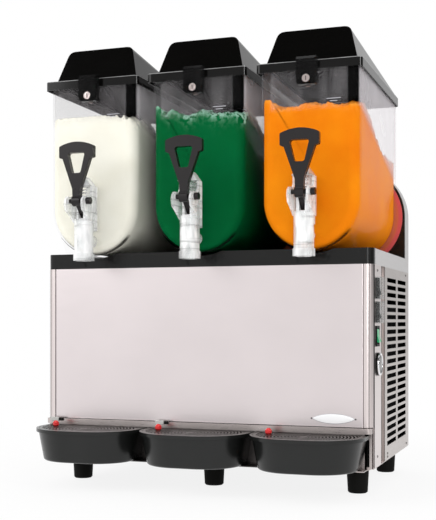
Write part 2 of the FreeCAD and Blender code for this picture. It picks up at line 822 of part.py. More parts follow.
# Red gasket rings on the tower face, flat over the deck
def bowl_gaskets():
    body = new_body("bowl_gaskets")
    front = bowl_rear + seat_gap
    low_radius = trough_radius - seat_gap

    def rings(sketch, outer):
        scallops(sketch, outer)
        scallops(sketch, bowl_radius)

    prism(body, "y", front, tower_front, lambda s: rings(s, gasket_radius))
    cut(body, "y", front - 1, tower_front + 1,
        lambda s: rectangle(s, -half_width, half_width, bowl_axis - gasket_radius - 1, deck_top))
    prism(body, "y", front, tower_front, lambda s: rings(s, low_radius))
    return placed(body)


# Gearmotors in the tower: a gearbox round each shaft and a motor block under it
def gearmotors():
    body = new_body("gearmotors")
    front = tower_front + face_thickness + 2
    rear = front + gearbox_depth
    for side in STATIONS.values():
        x = station_x(side)
        bottom = bowl_axis - gearbox_height / 2
        prism(body, "y", front, rear,
              lambda s: rectangle(s, x - gearbox_half, x + gearbox_half,
                                  bottom, bottom + gearbox_height))
        rounded(body, 12, edge_at("y", [(x - gearbox_half, bottom + gearbox_height),
                                        (x + gearbox_half, bottom + gearbox_height)]))
        prism(body, "y", front + 4, rear - 2,
              lambda s: rectangle(s, x - motor_half, x + motor_half, bottom - motor_height, bottom))
        prism(body, "y", front - 2, front, lambda s: circle(s, x, bowl_axis, 20))
        cut(body, "y", front - 3, shaft_rear + 1,
            lambda s: circle(s, x, bowl_axis, shaft_radius + running_clearance))
    return placed(body)


# Hermetic compressor: a domed pot on a foot plate with four grommets
def compressor():
    body = new_body("compressor")
    low = pan_top + pot_foot
    shoulder = pot_radius - 16
    turned(body, [(0, low), (shoulder, low), (pot_radius, low + 18),
                  (pot_radius, low + pot_height - 34), (shoulder + 6, low + pot_height - 12),
                  (24, low + pot_height), (0, low + pot_height)])
    plate_half = pot_radius + 14
    prism(body, "z", low - 1, low + 3,
          lambda s: rectangle(s, -plate_half, plate_half, -pot_radius * 0.7, pot_radius * 0.7))
    for side in SIDES:
        for end in SIDES:
            prism(body, "z", pan_top, low,
                  lambda s: circle(s, (plate_half - 12) * side, (pot_radius * 0.7 - 12) * end, 9))
    body.setExpression("Placement.Base.x", pot_x.text)
    body.setExpression("Placement.Base.y", (middle_y + pot_y).text)
    nodes.append(body)
    return body


# Condenser: a finned block with end plates behind the right louvres
def condenser():
    body = new_body("condenser")
    bottom = pan_top
    top = bottom + coil_height
    rear = coil_front + coil_length
    prism(body, "z", bottom, top,
          lambda s: rectangle(s, coil_x, coil_x + coil_thickness, coil_front, rear))
    fin_pitch = (coil_length - 12) / fin_count
    first = coil_front + 6 + (fin_pitch - fin_gap) / 2

    def gap(sketch):
        rectangle(sketch, coil_x + coil_thickness - 10, coil_x + coil_thickness + 1,
                  first, first + fin_gap)

    slot = cut(body, "z", bottom + 8, top - 8, gap)
    repeated(body, slot, "Y_Axis", fin_pitch * (fin_count - 1), fin_count)
    return placed(body)


def fan_place():
    """The fan's centre: behind the condenser's middle."""
    return coil_front + coil_length / 2, pan_top + coil_height / 2


# Fan shroud on the condenser, with the fan motor on two struts
def fan_shroud():
    body = new_body("fan_shroud")
    y, z = fan_place()
    half = coil_length / 2 - 4
    right = coil_x
    left = right - shroud_depth
    prism(body, "x", left, right,
          lambda s: rectangle(s, y - half, y + half, z - half - 10, z + half + 10))
    cut(body, "x", left - 1, right + 1, lambda s: circle(s, y, z, fan_ring))
    motor_right = left - 12
    motor_left = motor_right - fan_motor_length
    prism(body, "x", motor_left, motor_right, lambda s: circle(s, y, z, fan_motor_radius))
    for side in SIDES:
        low, high = (z + 0, z + fan_ring + 8) if side > 0 else (z - fan_ring - 8, z + 0)
        prism(body, "z", low, high,
              lambda s: rectangle(s, motor_right - 8, motor_right, y - 8, y + 8))
        edge_low, edge_high = (high - 8, high) if side > 0 else (low, low + 8)
        prism(body, "z", edge_low, edge_high,
              lambda s: rectangle(s, motor_right - 8, left, y - 8, y + 8))
    cut(body, "x", motor_left + 6, motor_right + 1,
        lambda s: circle(s, y, z, knob_shaft + running_clearance))
    return placed(body)


# Fan: a hub with pitched blades and a spindle in the motor
def fan():
    body = new_body("fan")
    reach_c = blade_chord / 2 * cosine(fan_pitch_angle)
    reach_s = blade_chord / 2 * sine(fan_pitch_angle)
    thick_c = fan_sheet / 2 * cosine(fan_pitch_angle)
    thick_s = fan_sheet / 2 * sine(fan_pitch_angle)
    corners = [(reach_s + thick_c, reach_c - thick_s), (reach_s - thick_c, reach_c + thick_s),
               (-reach_s - thick_c, thick_s - reach_c), (thick_c - reach_s, -reach_c - thick_s)]
    blade = prism(body, "z", fan_hub - 6, fan_radius, lambda s: outline(s, corners))
    doc.recompute()
    pattern = body.newObject("PartDesign::PolarPattern", "Blades")
    pattern.Originals = [blade]
    pattern.Axis = (origin_part(body, "X_Axis"), [""])
    pattern.Angle = 360
    bind(pattern, "Occurrences", fan_blades)
    body.Tip = pattern
    doc.recompute()
    motor_gap = shroud_depth / 2 + 12
    prism(body, "x", -6, 14, lambda s: circle(s, 0, 0, fan_hub))
    prism(body, "x", -motor_gap - 20, 0, lambda s: circle(s, 0, 0, knob_shaft))
    y, z = fan_place()
    bind(body, "Placement.Base.x", coil_x - shroud_depth / 2)
    bind(body, "Placement.Base.y", middle_y + y)
    bind(body, "Placement.Base.z", z)
    nodes.append(body)
    return body


def bent_path(points, bend):
    """Straight runs joined by tangent arcs of one radius."""
    runs = []
    start = points[0]
    for before, corner, after in zip(points, points[1:], points[2:]):
        arrive = (corner - before).normalize()
        leave = (after - corner).normalize()
        turn = arrive.getAngle(leave)
        back = bend * math.tan(turn / 2)
        first = corner - arrive * back
        last = corner + leave * back
        inward = (leave - arrive).normalize()
        middle = corner + inward * (bend / math.cos(turn / 2) - bend)
        runs.append(Part.LineSegment(start, first).toShape())
        runs.append(Part.Arc(first, middle, last).toShape())
        start = last
    runs.append(Part.LineSegment(start, points[-1]).toShape())
    return Part.Wire(runs)


def tube_along(path, radius):
    """A round solid tube along a path."""
    edge = path.OrderedEdges[0]
    start = edge.valueAt(edge.FirstParameter)
    way = edge.tangentAt(edge.FirstParameter)
    section = Part.Wire(Part.makeCircle(radius, start, way))
    shell = Part.BRepOffsetAPI.MakePipeShell(path)
    shell.add(section)
    shell.build()
    shell.makeSolid()
    return shell.shape()


# Copper lines: compressor to condenser, and condenser through the drier up to the bowls
def refrigerant_lines():
    radius, bend = pipe_radius.value, pipe_bend.value
    pot_top = (pan_top + pot_foot + pot_height).value
    coil_top = (pan_top + coil_height).value + seat_gap.value
    coil_mid = (coil_x + coil_thickness / 2).value
    coil_rear = (coil_front + coil_length).value
    start = Vector(pot_x.value, pot_y.value, pot_top + seat_gap.value)
    high = coil_top + bend + 8
    discharge = bent_path([start, Vector(start.x, start.y, high),
                           Vector(coil_mid, start.y, high),
                           Vector(coil_mid, start.y, coil_top)], bend)
    drier_z = high + 5
    liquid_y = coil_rear - 60
    liquid = bent_path([Vector(coil_mid, liquid_y, coil_top),
                        Vector(coil_mid, liquid_y, drier_z),
                        Vector(0, liquid_y, drier_z),
                        Vector(0, liquid_y, (deck_top - deck_thickness).value - seat_gap.value)],
                       bend)
    drier = Part.makeCylinder(drier_radius.value, drier_length.value,
                              Vector(60, liquid_y, drier_z), Vector(1, 0, 0))
    solids = [tube_along(discharge, radius), tube_along(liquid, radius).fuse(drier)]
    piece = doc.addObject("Part::Feature", "refrigerant_lines")
    piece.Label = "refrigerant_lines"
    piece.Shape = Part.makeCompound([solid for shape in solids for solid in shape.Solids])
    return placed(piece)


# Switch housings behind and round each rocker
def switch_housings():
    body = new_body("switch_housings")
    inner_half_width = switch_half_width - switch_border
    for number in range(3):
        middle = switch_z(number)
        prism(body, "x", half_width - switch_depth, half_width,
              lambda s: rectangle(s, switch_y - inner_half_width, switch_y + inner_half_width,
                                  middle - switch_half_height + switch_border,
                                  middle + switch_half_height - switch_border))
        prism(body, "x", half_width, half_width + switch_flange,
              lambda s: rectangle(s, switch_y - switch_half_width, switch_y + switch_half_width,
                                  middle - switch_half_height, middle + switch_half_height))
        well_half = inner_half_width - 1
        cut(body, "x", half_width - 12, half_width + switch_flange + 1,
            lambda s: rectangle(s, switch_y - well_half, switch_y + well_half,
                                middle - rocker_length() - 1.5, middle + rocker_length() + 1.5))
        cut(body, "y", switch_y - inner_half_width + 0.4, switch_y + inner_half_width - 0.4,
            lambda s: circle(s, half_width - rocker_sink, middle, 1.5 + running_clearance))
    return placed(body)


def rocker_length():
    return switch_half_height - switch_border - 3


# Rocker with a shallow V face and two side pins, tilted to its off side
def rocker(number, name):
    body = new_body(name)
    reach = rocker_length()
    half = switch_half_width - switch_border - 1 - rocker_play
    corners = [(-3, 3 - reach), (-3, reach - 3), (rocker_nose - 1, reach), (rocker_nose, reach - 2),
               (rocker_waist, 0), (rocker_nose, 2 - reach), (rocker_nose - 1, -reach)]
    prism(body, "y", -half, half, lambda s: outline(s, corners))
    pin = switch_half_width - switch_border - 0.6
    prism(body, "y", -pin, pin, lambda s: circle(s, 0, 0, 1.5))
    bind(body, "Placement.Base.x", half_width - rocker_sink)
    bind(body, "Placement.Base.y", middle_y + switch_y)
    bind(body, "Placement.Base.z", switch_z(number))
    body.Placement.Rotation = FreeCAD.Rotation(Vector(0, -1, 0), rocker_tilt.value)
    bind(body, "Placement.Rotation.Angle", rocker_tilt)
    nodes.append(body)
    return body


# Clear covers over the two upper rockers
def switch_covers():
    body = new_body("switch_covers")
    for number in range(2):
        middle = switch_z(number)
        half = switch_half_width + 0.5 + cover_wall
        tall = switch_half_height + 0.3 + cover_wall
        front = half_width + cover_depth
        prism(body, "x", half_width, front,
              lambda s: rectangle(s, switch_y - half, switch_y + half, middle - tall, middle + tall))
        rounded(body, 2, lambda e, x=front.value, z=middle.value, t=tall.value:
                abs(e.CenterOfMass.x - x) < 0.01 and abs(e.CenterOfMass.z - z) < t + 0.1)
        cut(body, "x", half_width, front - cover_wall,
            lambda s: rectangle(s, switch_y - half + cover_wall, switch_y + half - cover_wall,
                                middle - tall + cover_wall, middle + tall - cover_wall))
    return placed(body)


# Round knob with a ring and a domed middle
def knob():
    body = new_body("knob")
    base = half_width + seat_gap
    prism(body, "x", base, base + 2.5, lambda s: circle(s, knob_y, knob_z, knob_radius))
    prism(body, "x", base + 2.5, half_width + knob_height,
          lambda s: circle(s, knob_y, knob_z, knob_ring))
    front = (half_width + knob_height).value
    rounded(body, 2, lambda e: abs(e.CenterOfMass.x - front) < 0.01)
    cut(body, "x", base + 3.5, half_width + knob_height + 1,
        lambda s: rectangle(s, knob_y - 1.2, knob_y + 1.2, knob_z + 4, knob_z + knob_ring - 2))
    prism(body, "x", half_width - 12, base, lambda s: circle(s, knob_y, knob_z, knob_shaft))
    return placed(body)


# Clear bowl: a round bottom under straight walls, open at the top and at the rear circle
def bowl(name, side):
    body = new_body(f"bowl_{name}")
    prism(body, "y", bowl_front, bowl_rear, lambda s: circle(s, 0, bowl_axis, bowl_radius))
    prism(body, "y", bowl_front, bowl_rear,
          lambda s: rectangle(s, -bowl_radius, bowl_radius, bowl_axis, bowl_top))
    front, top = bowl_front.value, bowl_top.value
    inside = bowl_front + bowl_wall
    rear_wall = bowl_rear - flange_thickness

    def cavity(sketch):
        rectangle(sketch, -bowl_inner, bowl_inner, bowl_axis, bowl_top + 1)

    cut(body, "y", inside, rear_wall, lambda s: circle(s, 0, bowl_axis, bowl_inner))
    cut(body, "y", inside, rear_wall, cavity)
    deep, low = inside.value, (bowl_axis - bowl_inner).value
    rounded(body, bowl_corner - bowl_wall,
            lambda e: abs(e.CenterOfMass.y - deep) < 0.01 and abs(e.CenterOfMass.z - top) > 1
            and low - 0.1 < e.CenterOfMass.z)
    rounded(body, bowl_corner,
            lambda e: abs(e.CenterOfMass.y - front) < 0.01 and abs(e.CenterOfMass.z - top) > 1)
    prism(body, "y", rear_wall, bowl_rear, lambda s: circle(s, 0, bowl_axis, flange_radius))
    over_deck = deck_top + seat_gap
    cut(body, "y", rear_wall, bowl_rear + 1,
        lambda s: rectangle(s, -flange_radius - 1, flange_radius + 1,
                            bowl_axis - flange_radius - 1, over_deck))
    prism(body, "y", rear_wall, bowl_rear,
          lambda s: circle(s, 0, bowl_axis, trough_radius - seat_gap))
    cut(body, "y", rear_wall - 1, bowl_rear + 1, lambda s: circle(s, 0, bowl_axis, bowl_inner))
    foot_start = leg_front + leg_slope
    for way in SIDES:
        low_x, high_x = mirrored_span(way, leg_offset, leg_offset + leg_thickness)
        prism(body, "x", low_x, high_x,
              lambda s: outline(s, [(leg_front, leg_top), (foot_start, over_deck),
                                    (foot_start + leg_length, over_deck),
                                    (foot_start + leg_length + 10, leg_top)]))
    lid_front = bowl_front - lid_overhang
    prism(body, "y", lid_front + 0.4, bowl_front + 1,
          lambda s: rectangle(s, -cam_length - 3, -cam_half - 2.5,
                              catch_bottom, catch_bottom + catch_height))
    prism(body, "y", bowl_front, inside - 0.4,
          lambda s: circle(s, 0, port_axis, port_radius + port_wall))
    cut(body, "y", bowl_front - 1, inside + 3, lambda s: circle(s, 0, port_axis, port_radius))
    return placed(body, station_x(side))


# Tap body: spout with a collar, a port from the bowl, and two posts with ears under a roof
def tap_body(name, side):
    body = new_body(f"tap_body_{name}")
    bore = piston_radius + running_clearance
    collar_top = spout_bottom + collar_height
    plate_top = yoke_bottom + yoke_plate
    outer = yoke_inner + yoke_wall
    prism(body, "z", spout_bottom, plate_top, lambda s: circle(s, 0, spout_y, spout_radius))
    prism(body, "z", spout_bottom, collar_top, lambda s: circle(s, 0, spout_y, spout_collar))
    prism(body, "y", spout_y, bowl_front,
          lambda s: circle(s, 0, port_axis, port_radius + port_wall))
    prism(body, "z", yoke_bottom, plate_top,
          lambda s: rectangle(s, -outer, outer, post_front, post_rear))
    prism(body, "y", bowl_front - backplate, bowl_front,
          lambda s: rectangle(s, -backplate_half, backplate_half, backplate_bottom, roof_bottom + 2))
    prism(body, "y", spout_y, bowl_front,
          lambda s: rectangle(s, -neck_half, neck_half, yoke_bottom, plate_top))
    prism(body, "y", post_rear - 4, bowl_front,
          lambda s: rectangle(s, -neck_half, neck_half, roof_bottom, roof_bottom + 6))
    ear_front = pin_y - ear_reach
    cheek = [(post_rear, yoke_bottom), (post_front, yoke_bottom),
             (pin_y - ear_reach * 0.1, yoke_bottom + 14), (ear_front + 4, pin_z - 17),
             (ear_front, pin_z - 7), (ear_front + 2, pin_z + 2), (ear_front + 9, ear_top),
             (post_front - 6, ear_top + 1.5), (post_front, ear_top + 8),
             (post_front, roof_bottom), (post_rear, roof_bottom)]
    for way in SIDES:
        low, high = mirrored_span(way, yoke_inner, outer)
        prism(body, "x", low, high, lambda s: outline(s, cheek))
    prism(body, "y", spout_y - post_rear + spout_y, post_rear,
          lambda s: outline(s, [(-outer, roof_bottom), (outer, roof_bottom),
                                (crest_half, crest_top), (-crest_half, crest_top)]))
    cut(body, "z", spout_bottom - 1, plate_top + 1, lambda s: circle(s, 0, spout_y, bore))
    cut(body, "z", roof_bottom - 1, crest_top - crest_wall,
        lambda s: circle(s, 0, spout_y, spring_room))
    cut(body, "y", spout_y, bowl_front + 1, lambda s: circle(s, 0, port_axis, port_radius))
    cut(body, "x", -outer - 1, outer + 1,
        lambda s: circle(s, pin_y, pin_z, pin_radius + running_clearance))
    return placed(body, station_x(side))


# Lever handle with its loop and claw, and the hinge pin through its hub
def tap_handle(name, side):
    body = new_body(f"tap_handle_{name}")
    prism(body, "x", -hub_half, hub_half, lambda s: circle(s, pin_y, pin_z, hub_radius))
    front, rear = pin_y - lever_thickness / 2, pin_y + lever_thickness / 2
    right = [(stem_foot_half, pin_z - hub_radius * 0.7), (stem_half, stem_top),
             (arm_top_half, head_bottom - 2), (head_half, head_bottom), (head_half, head_side_top)]
    for share in (0.75, 0.5, 0.25):
        rise = (head_top - head_side_top) * (1 - share * share)
        right.append((head_half * share, head_side_top + rise))
    left = [(-x, z) for x, z in reversed(right)]
    prism(body, "y", front, rear, lambda s: outline(s, right + [(0, head_top)] + left))
    for radius, x, z in ((12, stem_half, stem_top), (2, head_half, head_bottom),
                         (3, head_half, head_side_top)):
        rounded(body, radius, edge_at("y", [(x, z), (-x, z)]))
    loop = [(-loop_bottom_half, loop_bottom), (loop_bottom_half, loop_bottom),
            (loop_top_half, loop_top), (-loop_top_half, loop_top)]
    cut(body, "y", front - 1, rear + 1, lambda s: outline(s, loop))
    rounded(body, 4, edge_at("y", loop))
    length = math.hypot(claw_reach.value, claw_drop.value)
    across_y = claw_radius * claw_drop / length
    across_z = claw_radius * claw_reach / length
    tip_y, tip_z = pin_y + claw_reach, pin_z - claw_drop
    claw = [(pin_y + across_y, pin_z + across_z), (tip_y + across_y, tip_z + across_z),
            (tip_y - across_y, tip_z - across_z), (pin_y - across_y, pin_z - across_z)]
    prism(body, "x", -claw_radius, claw_radius, lambda s: outline(s, claw))
    prism(body, "x", -claw_radius, claw_radius, lambda s: circle(s, tip_y, tip_z, claw_radius))
    cut(body, "x", -hub_half - 1, hub_half + 1,
        lambda s: circle(s, pin_y, pin_z, pin_radius + running_clearance))
    head_start = yoke_inner + yoke_wall + seat_gap
    prism(body, "x", -head_start - 1.5, head_start, lambda s: circle(s, pin_y, pin_z, pin_radius))
    prism(body, "x", head_start, head_start + pin_head_length,
          lambda s: circle(s, pin_y, pin_z, pin_head_radius))
    return placed(body, station_x(side))


# Piston with a window for the claw and a spigot for the spring
def tap_piston(name, side):
    body = new_body(f"tap_piston_{name}")
    prism(body, "z", piston_bottom, piston_top, lambda s: circle(s, 0, spout_y, piston_radius))
    prism(body, "z", piston_top, piston_top + spigot_height,
          lambda s: circle(s, 0, spout_y, spigot_radius))
    tip_y, tip_z = pin_y + claw_reach, pin_z - claw_drop
    ceiling = tip_z + claw_radius + window_play
    floor = tip_z - claw_radius - window_floor_play
    bend_y = tip_y + claw_radius * 1.5
    front = pin_y + claw_radius * 2
    slope = claw_drop / claw_reach
    cut(body, "x", -claw_radius - 0.8, claw_radius + 0.8,
        lambda s: outline(s, [(front, floor), (spout_y + piston_radius + 1, floor),
                              (spout_y + piston_radius + 1, ceiling), (bend_y, ceiling),
                              (front, ceiling + (bend_y - front) * slope)]))
    return placed(body, station_x(side))


def biarc(start, start_way, end, end_way):
    """Two arcs joined smoothly between two points with given directions."""
    chord = end - start
    both = start_way + end_way
    a = 2 * (1 - start_way.dot(end_way))
    b = 2 * chord.dot(both)
    c = -chord.dot(chord)
    reach = (-b + math.sqrt(b * b - 4 * a * c)) / (2 * a)
    near, far = start + start_way * reach, end - end_way * reach
    middle = (near + far) * 0.5
    arcs = []
    for first, corner, last in ((start, near, middle), (middle, far, end)):
        foot = (first + last) * 0.5
        height = (foot - corner).Length
        radius = reach * (last - first).Length / 2 / height
        top = corner + (foot - corner) * ((math.hypot(reach, radius) - radius) / height)
        arcs.append(Part.Arc(first, top, last).toShape())
    return arcs


# Return spring between the piston and the yoke's roof
def tap_spring(name, side):
    radius, wire, middle = spring_radius.value, spring_wire.value / 2, spout_y.value
    low = (piston_top + seat_gap).value + wire
    high = (crest_top - crest_wall - seat_gap).value - wire
    quarters = int(spring_turns.value) * 4
    rise = (high - low) / quarters
    climb = rise / math.hypot(radius * math.pi / 2, rise)
    level = math.sqrt(1 - climb * climb)

    def point(n):
        angle = n * math.pi / 2
        place = Vector(radius * math.cos(angle), middle + radius * math.sin(angle), low + rise * n)
        way = Vector(-math.sin(angle) * level, math.cos(angle) * level, climb)
        return place, way

    arcs = []
    for n in range(quarters):
        arcs += biarc(*point(n), *point(n + 1))
    path = Part.Wire(arcs)
    print(f"{name} spring: least gap between turns {4 * rise - 2 * wire:.2f}")
    piece = doc.addObject("Part::Feature", f"tap_spring_{name}")
    piece.Label = f"tap_spring_{name}"
    piece.Shape = tube_along(path, wire)
    return placed(piece, station_x(side))


def dome_section(sketch, base, top, foot, height, corner):
    """A dome's cross-section with sloping sides and softened top corners."""
    lean = (base - top) / height
    right = [(base, foot), (base, sized(0))]
    for step in range(5):
        t = step / 4
        u = (1 - t) ** 2
        right.append((top + (lean * u - t * t) * corner, height - u * corner))
    outline(sketch, right + [(-x, z) for x, z in reversed(right)])


# Lid: a rim over the bowl's edge and a hollow dome that slopes down to the rear
def lid(name, side):
    body = new_body(f"lid_{name}")
    half = bowl_radius + lid_overhang
    front, rear = bowl_front - lid_overhang, bowl_rear + lid_rear_overhang
    corners = [(half, front), (-half, front), (half, rear), (-half, rear)]
    prism(body, "z", rim_bottom, rim_top, lambda s: rectangle(s, -half, half, front, rear))
    rounded(body, rim_corner, edge_at("z", corners))
    wall = lid_wall
    cut(body, "z", rim_bottom - 1, rim_top - wall,
        lambda s: rectangle(s, wall - half, half - wall, front + wall, rear - wall))
    inner_corners = [(half - wall, front + wall), (wall - half, front + wall),
                     (half - wall, rear - wall), (wall - half, rear - wall)]
    rounded(body, rim_corner - wall, edge_at("z", inner_corners))
    face_angle = Size(math.degrees(math.atan2(dome_lean.value, dome_height.value)),
                      f"atan2({dome_lean.text}; {dome_height.text})")
    face_height = dome_height / cosine(face_angle)

    def dome(kind, inset):
        foot = -wall - 0.5 if inset.value else -wall * 0.5
        face = sketch_at(body, "y", dome_front + inset / cosine(face_angle),
                         lambda s: dome_section(s, dome_base_half - inset, dome_top_half - inset,
                                                foot, face_height - inset, dome_corner))
        face.AttachmentOffset = FreeCAD.Placement(
            Vector(0, rim_top.value, face.AttachmentOffset.Base.z),
            FreeCAD.Rotation(Vector(1, 0, 0), -face_angle.value))
        bind(face, "AttachmentOffset.Base.y", rim_top)
        tail = sketch_at(body, "y", dome_rear - inset,
                         lambda s: dome_section(s, dome_tail_half + 1 - inset,
                                                dome_tail_half - inset, foot,
                                                dome_tail - inset * 0.9, dome_tail * 0.12))
        bind(tail, "AttachmentOffset.Base.y", rim_top)
        loft = body.newObject(kind, "Dome")
        loft.Profile = face
        loft.Sections = [tail]
        loft.Ruled = True
        body.Tip = loft

    dome("PartDesign::AdditiveLoft", sized(0))
    dome("PartDesign::SubtractiveLoft", wall)
    return placed(body, station_x(side))


# Lock housing hooked over the front of the rim
def lock_housing(name, side):
    body = new_body(f"lock_housing_{name}")
    back = bowl_front - lid_overhang
    face = back - lock_reach
    prism(body, "x", -lock_half, lock_half,
          lambda s: outline(s, [(back, lock_bottom), (face + 6, lock_bottom), (face, lock_bottom + 6),
                                (face, lock_top - 5), (face + 5, lock_top), (back + lock_hook, lock_top),
                                (back + lock_hook, rim_top), (back, rim_top)]))
    rounded(body, 4, edge_at("y", [(lock_half, lock_bottom), (-lock_half, lock_bottom)]))
    cut(body, "y", face - 1, back + 1,
        lambda s: circle(s, 0, lock_axis, lock_radius + running_clearance))
    cut(body, "y", face - 1, face + 4, lambda s: circle(s, 0, lock_axis, lock_bezel + seat_gap))
    return placed(body, station_x(side))


# Lock cylinder with its bezel, key slot and cam
def lock_cylinder(name, side):
    body = new_body(f"lock_cylinder_{name}")
    back = bowl_front - lid_overhang
    face = back - lock_reach + 4 - seat_gap
    prism(body, "y", face, back - 0.4, lambda s: circle(s, 0, 0, lock_radius))
    prism(body, "y", face - 2.7, face, lambda s: circle(s, 0, 0, lock_bezel))
    cam_rear = bowl_front - 1.7
    prism(body, "y", back - 0.4, cam_rear, lambda s: circle(s, 0, 0, cam_half))
    prism(body, "y", cam_rear - cam_thickness, cam_rear,
          lambda s: rectangle(s, -cam_half, cam_half, -cam_length, 0))
    cut(body, "y", face - 3, face + 4, lambda s: rectangle(s, -0.7, 0.7, -3.5, 3.5))
    return placed(body, station_x(side), lock_axis)


# Auger: a helical blade round the evaporator on two bars, carried by a nose and the drive shaft
def auger(name, side):
    body = new_body(f"auger_{name}")
    arm_front = evaporator_front - 2 - arm_thickness
    arm_rear = evaporator_front - 2
    bar_outer = blade_outer - 1.5
    blade_start = arm_rear - blade_thickness / 2
    blade_length = blade_pitch * blade_turns
    nose_front = arm_rear - nose_length
    turned(body, [(0, nose_front), (8, nose_front), (nose_radius - 5, nose_front + 9),
                  (nose_radius, nose_front + 24), (nose_radius, arm_rear), (0, arm_rear)],
           plane="z")
    prism(body, "y", arm_rear - 1, shaft_rear, lambda s: circle(s, 0, 0, shaft_radius))
    prism(body, "y", arm_front, arm_rear,
          lambda s: rectangle(s, -bar_outer, bar_outer, -arm_half, arm_half))
    for way in SIDES:
        low, high = mirrored_span(way, bar_outer - bar_depth, bar_outer)
        prism(body, "y", arm_rear - 1, blade_start + blade_length,
              lambda s: rectangle(s, low, high, -bar_half, bar_half))
    profile = sketch_at(body, "z", 0,
                        lambda s: rectangle(s, blade_inner, blade_outer,
                                            blade_start - blade_thickness / 2,
                                            blade_start + blade_thickness / 2))
    helix = body.newObject("PartDesign::AdditiveHelix", "Blade")
    helix.Profile = profile
    helix.ReferenceAxis = (profile, ["V_Axis"])
    helix.Mode = "pitch-turns-angle"
    bind(helix, "Pitch", blade_pitch)
    bind(helix, "Turns", blade_turns)
    body.Tip = helix
    return placed(body, station_x(side), bowl_axis)


# Drip tray: a tapered tub with rounded front corners, a rim and a seat for the grille
def drip_tray(name, side):
    body = new_body(f"drip_tray_{name}")
    floor = pan_top + seat_gap
    rear = -tray_rear_gap
    run = (tray_top - floor) * tangent(tray_slope)
    tub_half = tray_half - tray_rim_width
    prism(body, "z", floor, tray_top,
          lambda s: tray_outline(s, tub_half - run, tray_rim_width + run - tray_reach, rear,
                                 tray_corner - run), slope=tray_slope)
    cut(body, "z", floor - 1, tray_top + 1,
        lambda s: rectangle(s, -tray_half - 9, tray_half + 9, rear, rear + 40))
    lowest = floor.value
    rounded(body, 5, lambda e: e.BoundBox.ZMax < lowest + 0.1 and e.CenterOfMass.y < -6)
    prism(body, "z", tray_top - tray_rim_height, tray_top,
          lambda s: tray_outline(s, tray_half, -tray_reach, rear, tray_corner + tray_rim_width))
    seat = tray_rim_width + tray_wall - 1
    seat_floor = tray_top - grille_thickness - seat_gap
    cut(body, "z", seat_floor, tray_top + 1,
        lambda s: tray_outline(s, tray_half - seat, seat - tray_reach, grille_play - grille_rear,
                               tray_corner + tray_rim_width - seat))
    inset = seat + grille_seat
    cut(body, "z", floor + tray_wall, seat_floor,
        lambda s: tray_outline(s, tray_half - inset, inset - tray_reach,
                               -grille_rear - grille_seat,
                               tray_corner + tray_rim_width - inset), slope=-tray_slope)
    return placed(body, station_x(side))


# Grille: a thin plate with rings of curved slots and a hole for the float
def drip_grille(name, side):
    body = new_body(f"drip_grille_{name}")
    inset = tray_rim_width + tray_wall - 1 + grille_play
    bottom = tray_top - grille_thickness
    prism(body, "z", bottom, tray_top,
          lambda s: tray_outline(s, tray_half - inset, inset - tray_reach, -grille_rear,
                                 tray_corner + tray_rim_width - inset))
    middle = -tray_reach / 2
    for ring in range(3):
        inner = ring_first + ring_pitch * ring

        def slots(sketch):
            for n in range(4):
                ring_sector(sketch, inner, inner + ring_slot, 90 * n + 8, 90 * n + 82, 0, middle)

        cut(body, "z", bottom - 1, tray_top + 1, slots)
    cut(body, "z", bottom - 1, tray_top + 1,
        lambda s: circle(s, float_x, float_y, float_ball + float_hole_play))
    return placed(body, station_x(side))


# Level float: a disc in the tray, a stem and a red ball over the grille
def level_float(name, side):
    body = new_body(f"level_float_{name}")
    low = pan_top + seat_gap + tray_wall + seat_gap
    ball_z = tray_top + float_ball * 0.75
    prism(body, "z", low, low + float_disc_height,
          lambda s: circle(s, float_x, float_y, float_disc))
    prism(body, "z", low, ball_z, lambda s: circle(s, float_x, float_y, float_stem))
    step = float_ball * 0.924
    rings = [(float_ball * 0.383, -step), (float_ball * 0.924, -float_ball * 0.383),
             (float_ball * 0.924, float_ball * 0.383), (float_ball * 0.383, step)]
    levels = [(sized(r), ball_z + h) for r, h in rings]
    for (radius_a, z_a), (radius_b, z_b) in zip(levels, levels[1:]):
        lean = math.degrees(math.atan2(radius_b.value - radius_a.value, z_b.value - z_a.value))
        slope = sized(lean) if abs(lean) > 0.01 else None
        prism(body, "z", z_a, z_b, lambda s: circle(s, float_x, float_y, radius_a), slope=slope)
    return placed(body, station_x(side))


for make in (base_frame, front_panel, corner_posts, side_panels, rear_panel, deck, side_rails,
             tower_shell, tower_face, feet, evaporators, bowl_gaskets, gearmotors, compressor,
             condenser, fan_shroud, fan, refrigerant_lines, switch_housings, switch_covers, knob):
    make()
for number, name in enumerate(("rocker_mixer", "rocker_cooling", "rocker_main")):
    rocker(number, name)
for name, side in STATIONS.items():
    for make in (bowl, tap_body, tap_handle, tap_piston, tap_spring, lid, lock_housing,
                 lock_cylinder, auger, drip_tray, drip_grille, level_float):
        make(name, side)

doc.recompute()
for item in doc.Objects:
    if "Invalid" in item.State or "Error" in item.State:
        raise RuntimeError(f"{item.Label} failed: {item.State}")
for piece in nodes:
    shape = piece.Shape
    if shape.isNull() or not shape.isValid() or not shape.Solids:
        raise RuntimeError(f"{piece.Label} has no valid solid")
    shape.exportStep(f"parts/{piece.Label}.step")
print(f"{len(nodes)} sub-parts written")
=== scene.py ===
"""Looks of a slush machine: finishes for its solid pieces, and the ice, marks and trims on them."""

import functools
import logging
import math
from dataclasses import dataclass
from enum import Enum

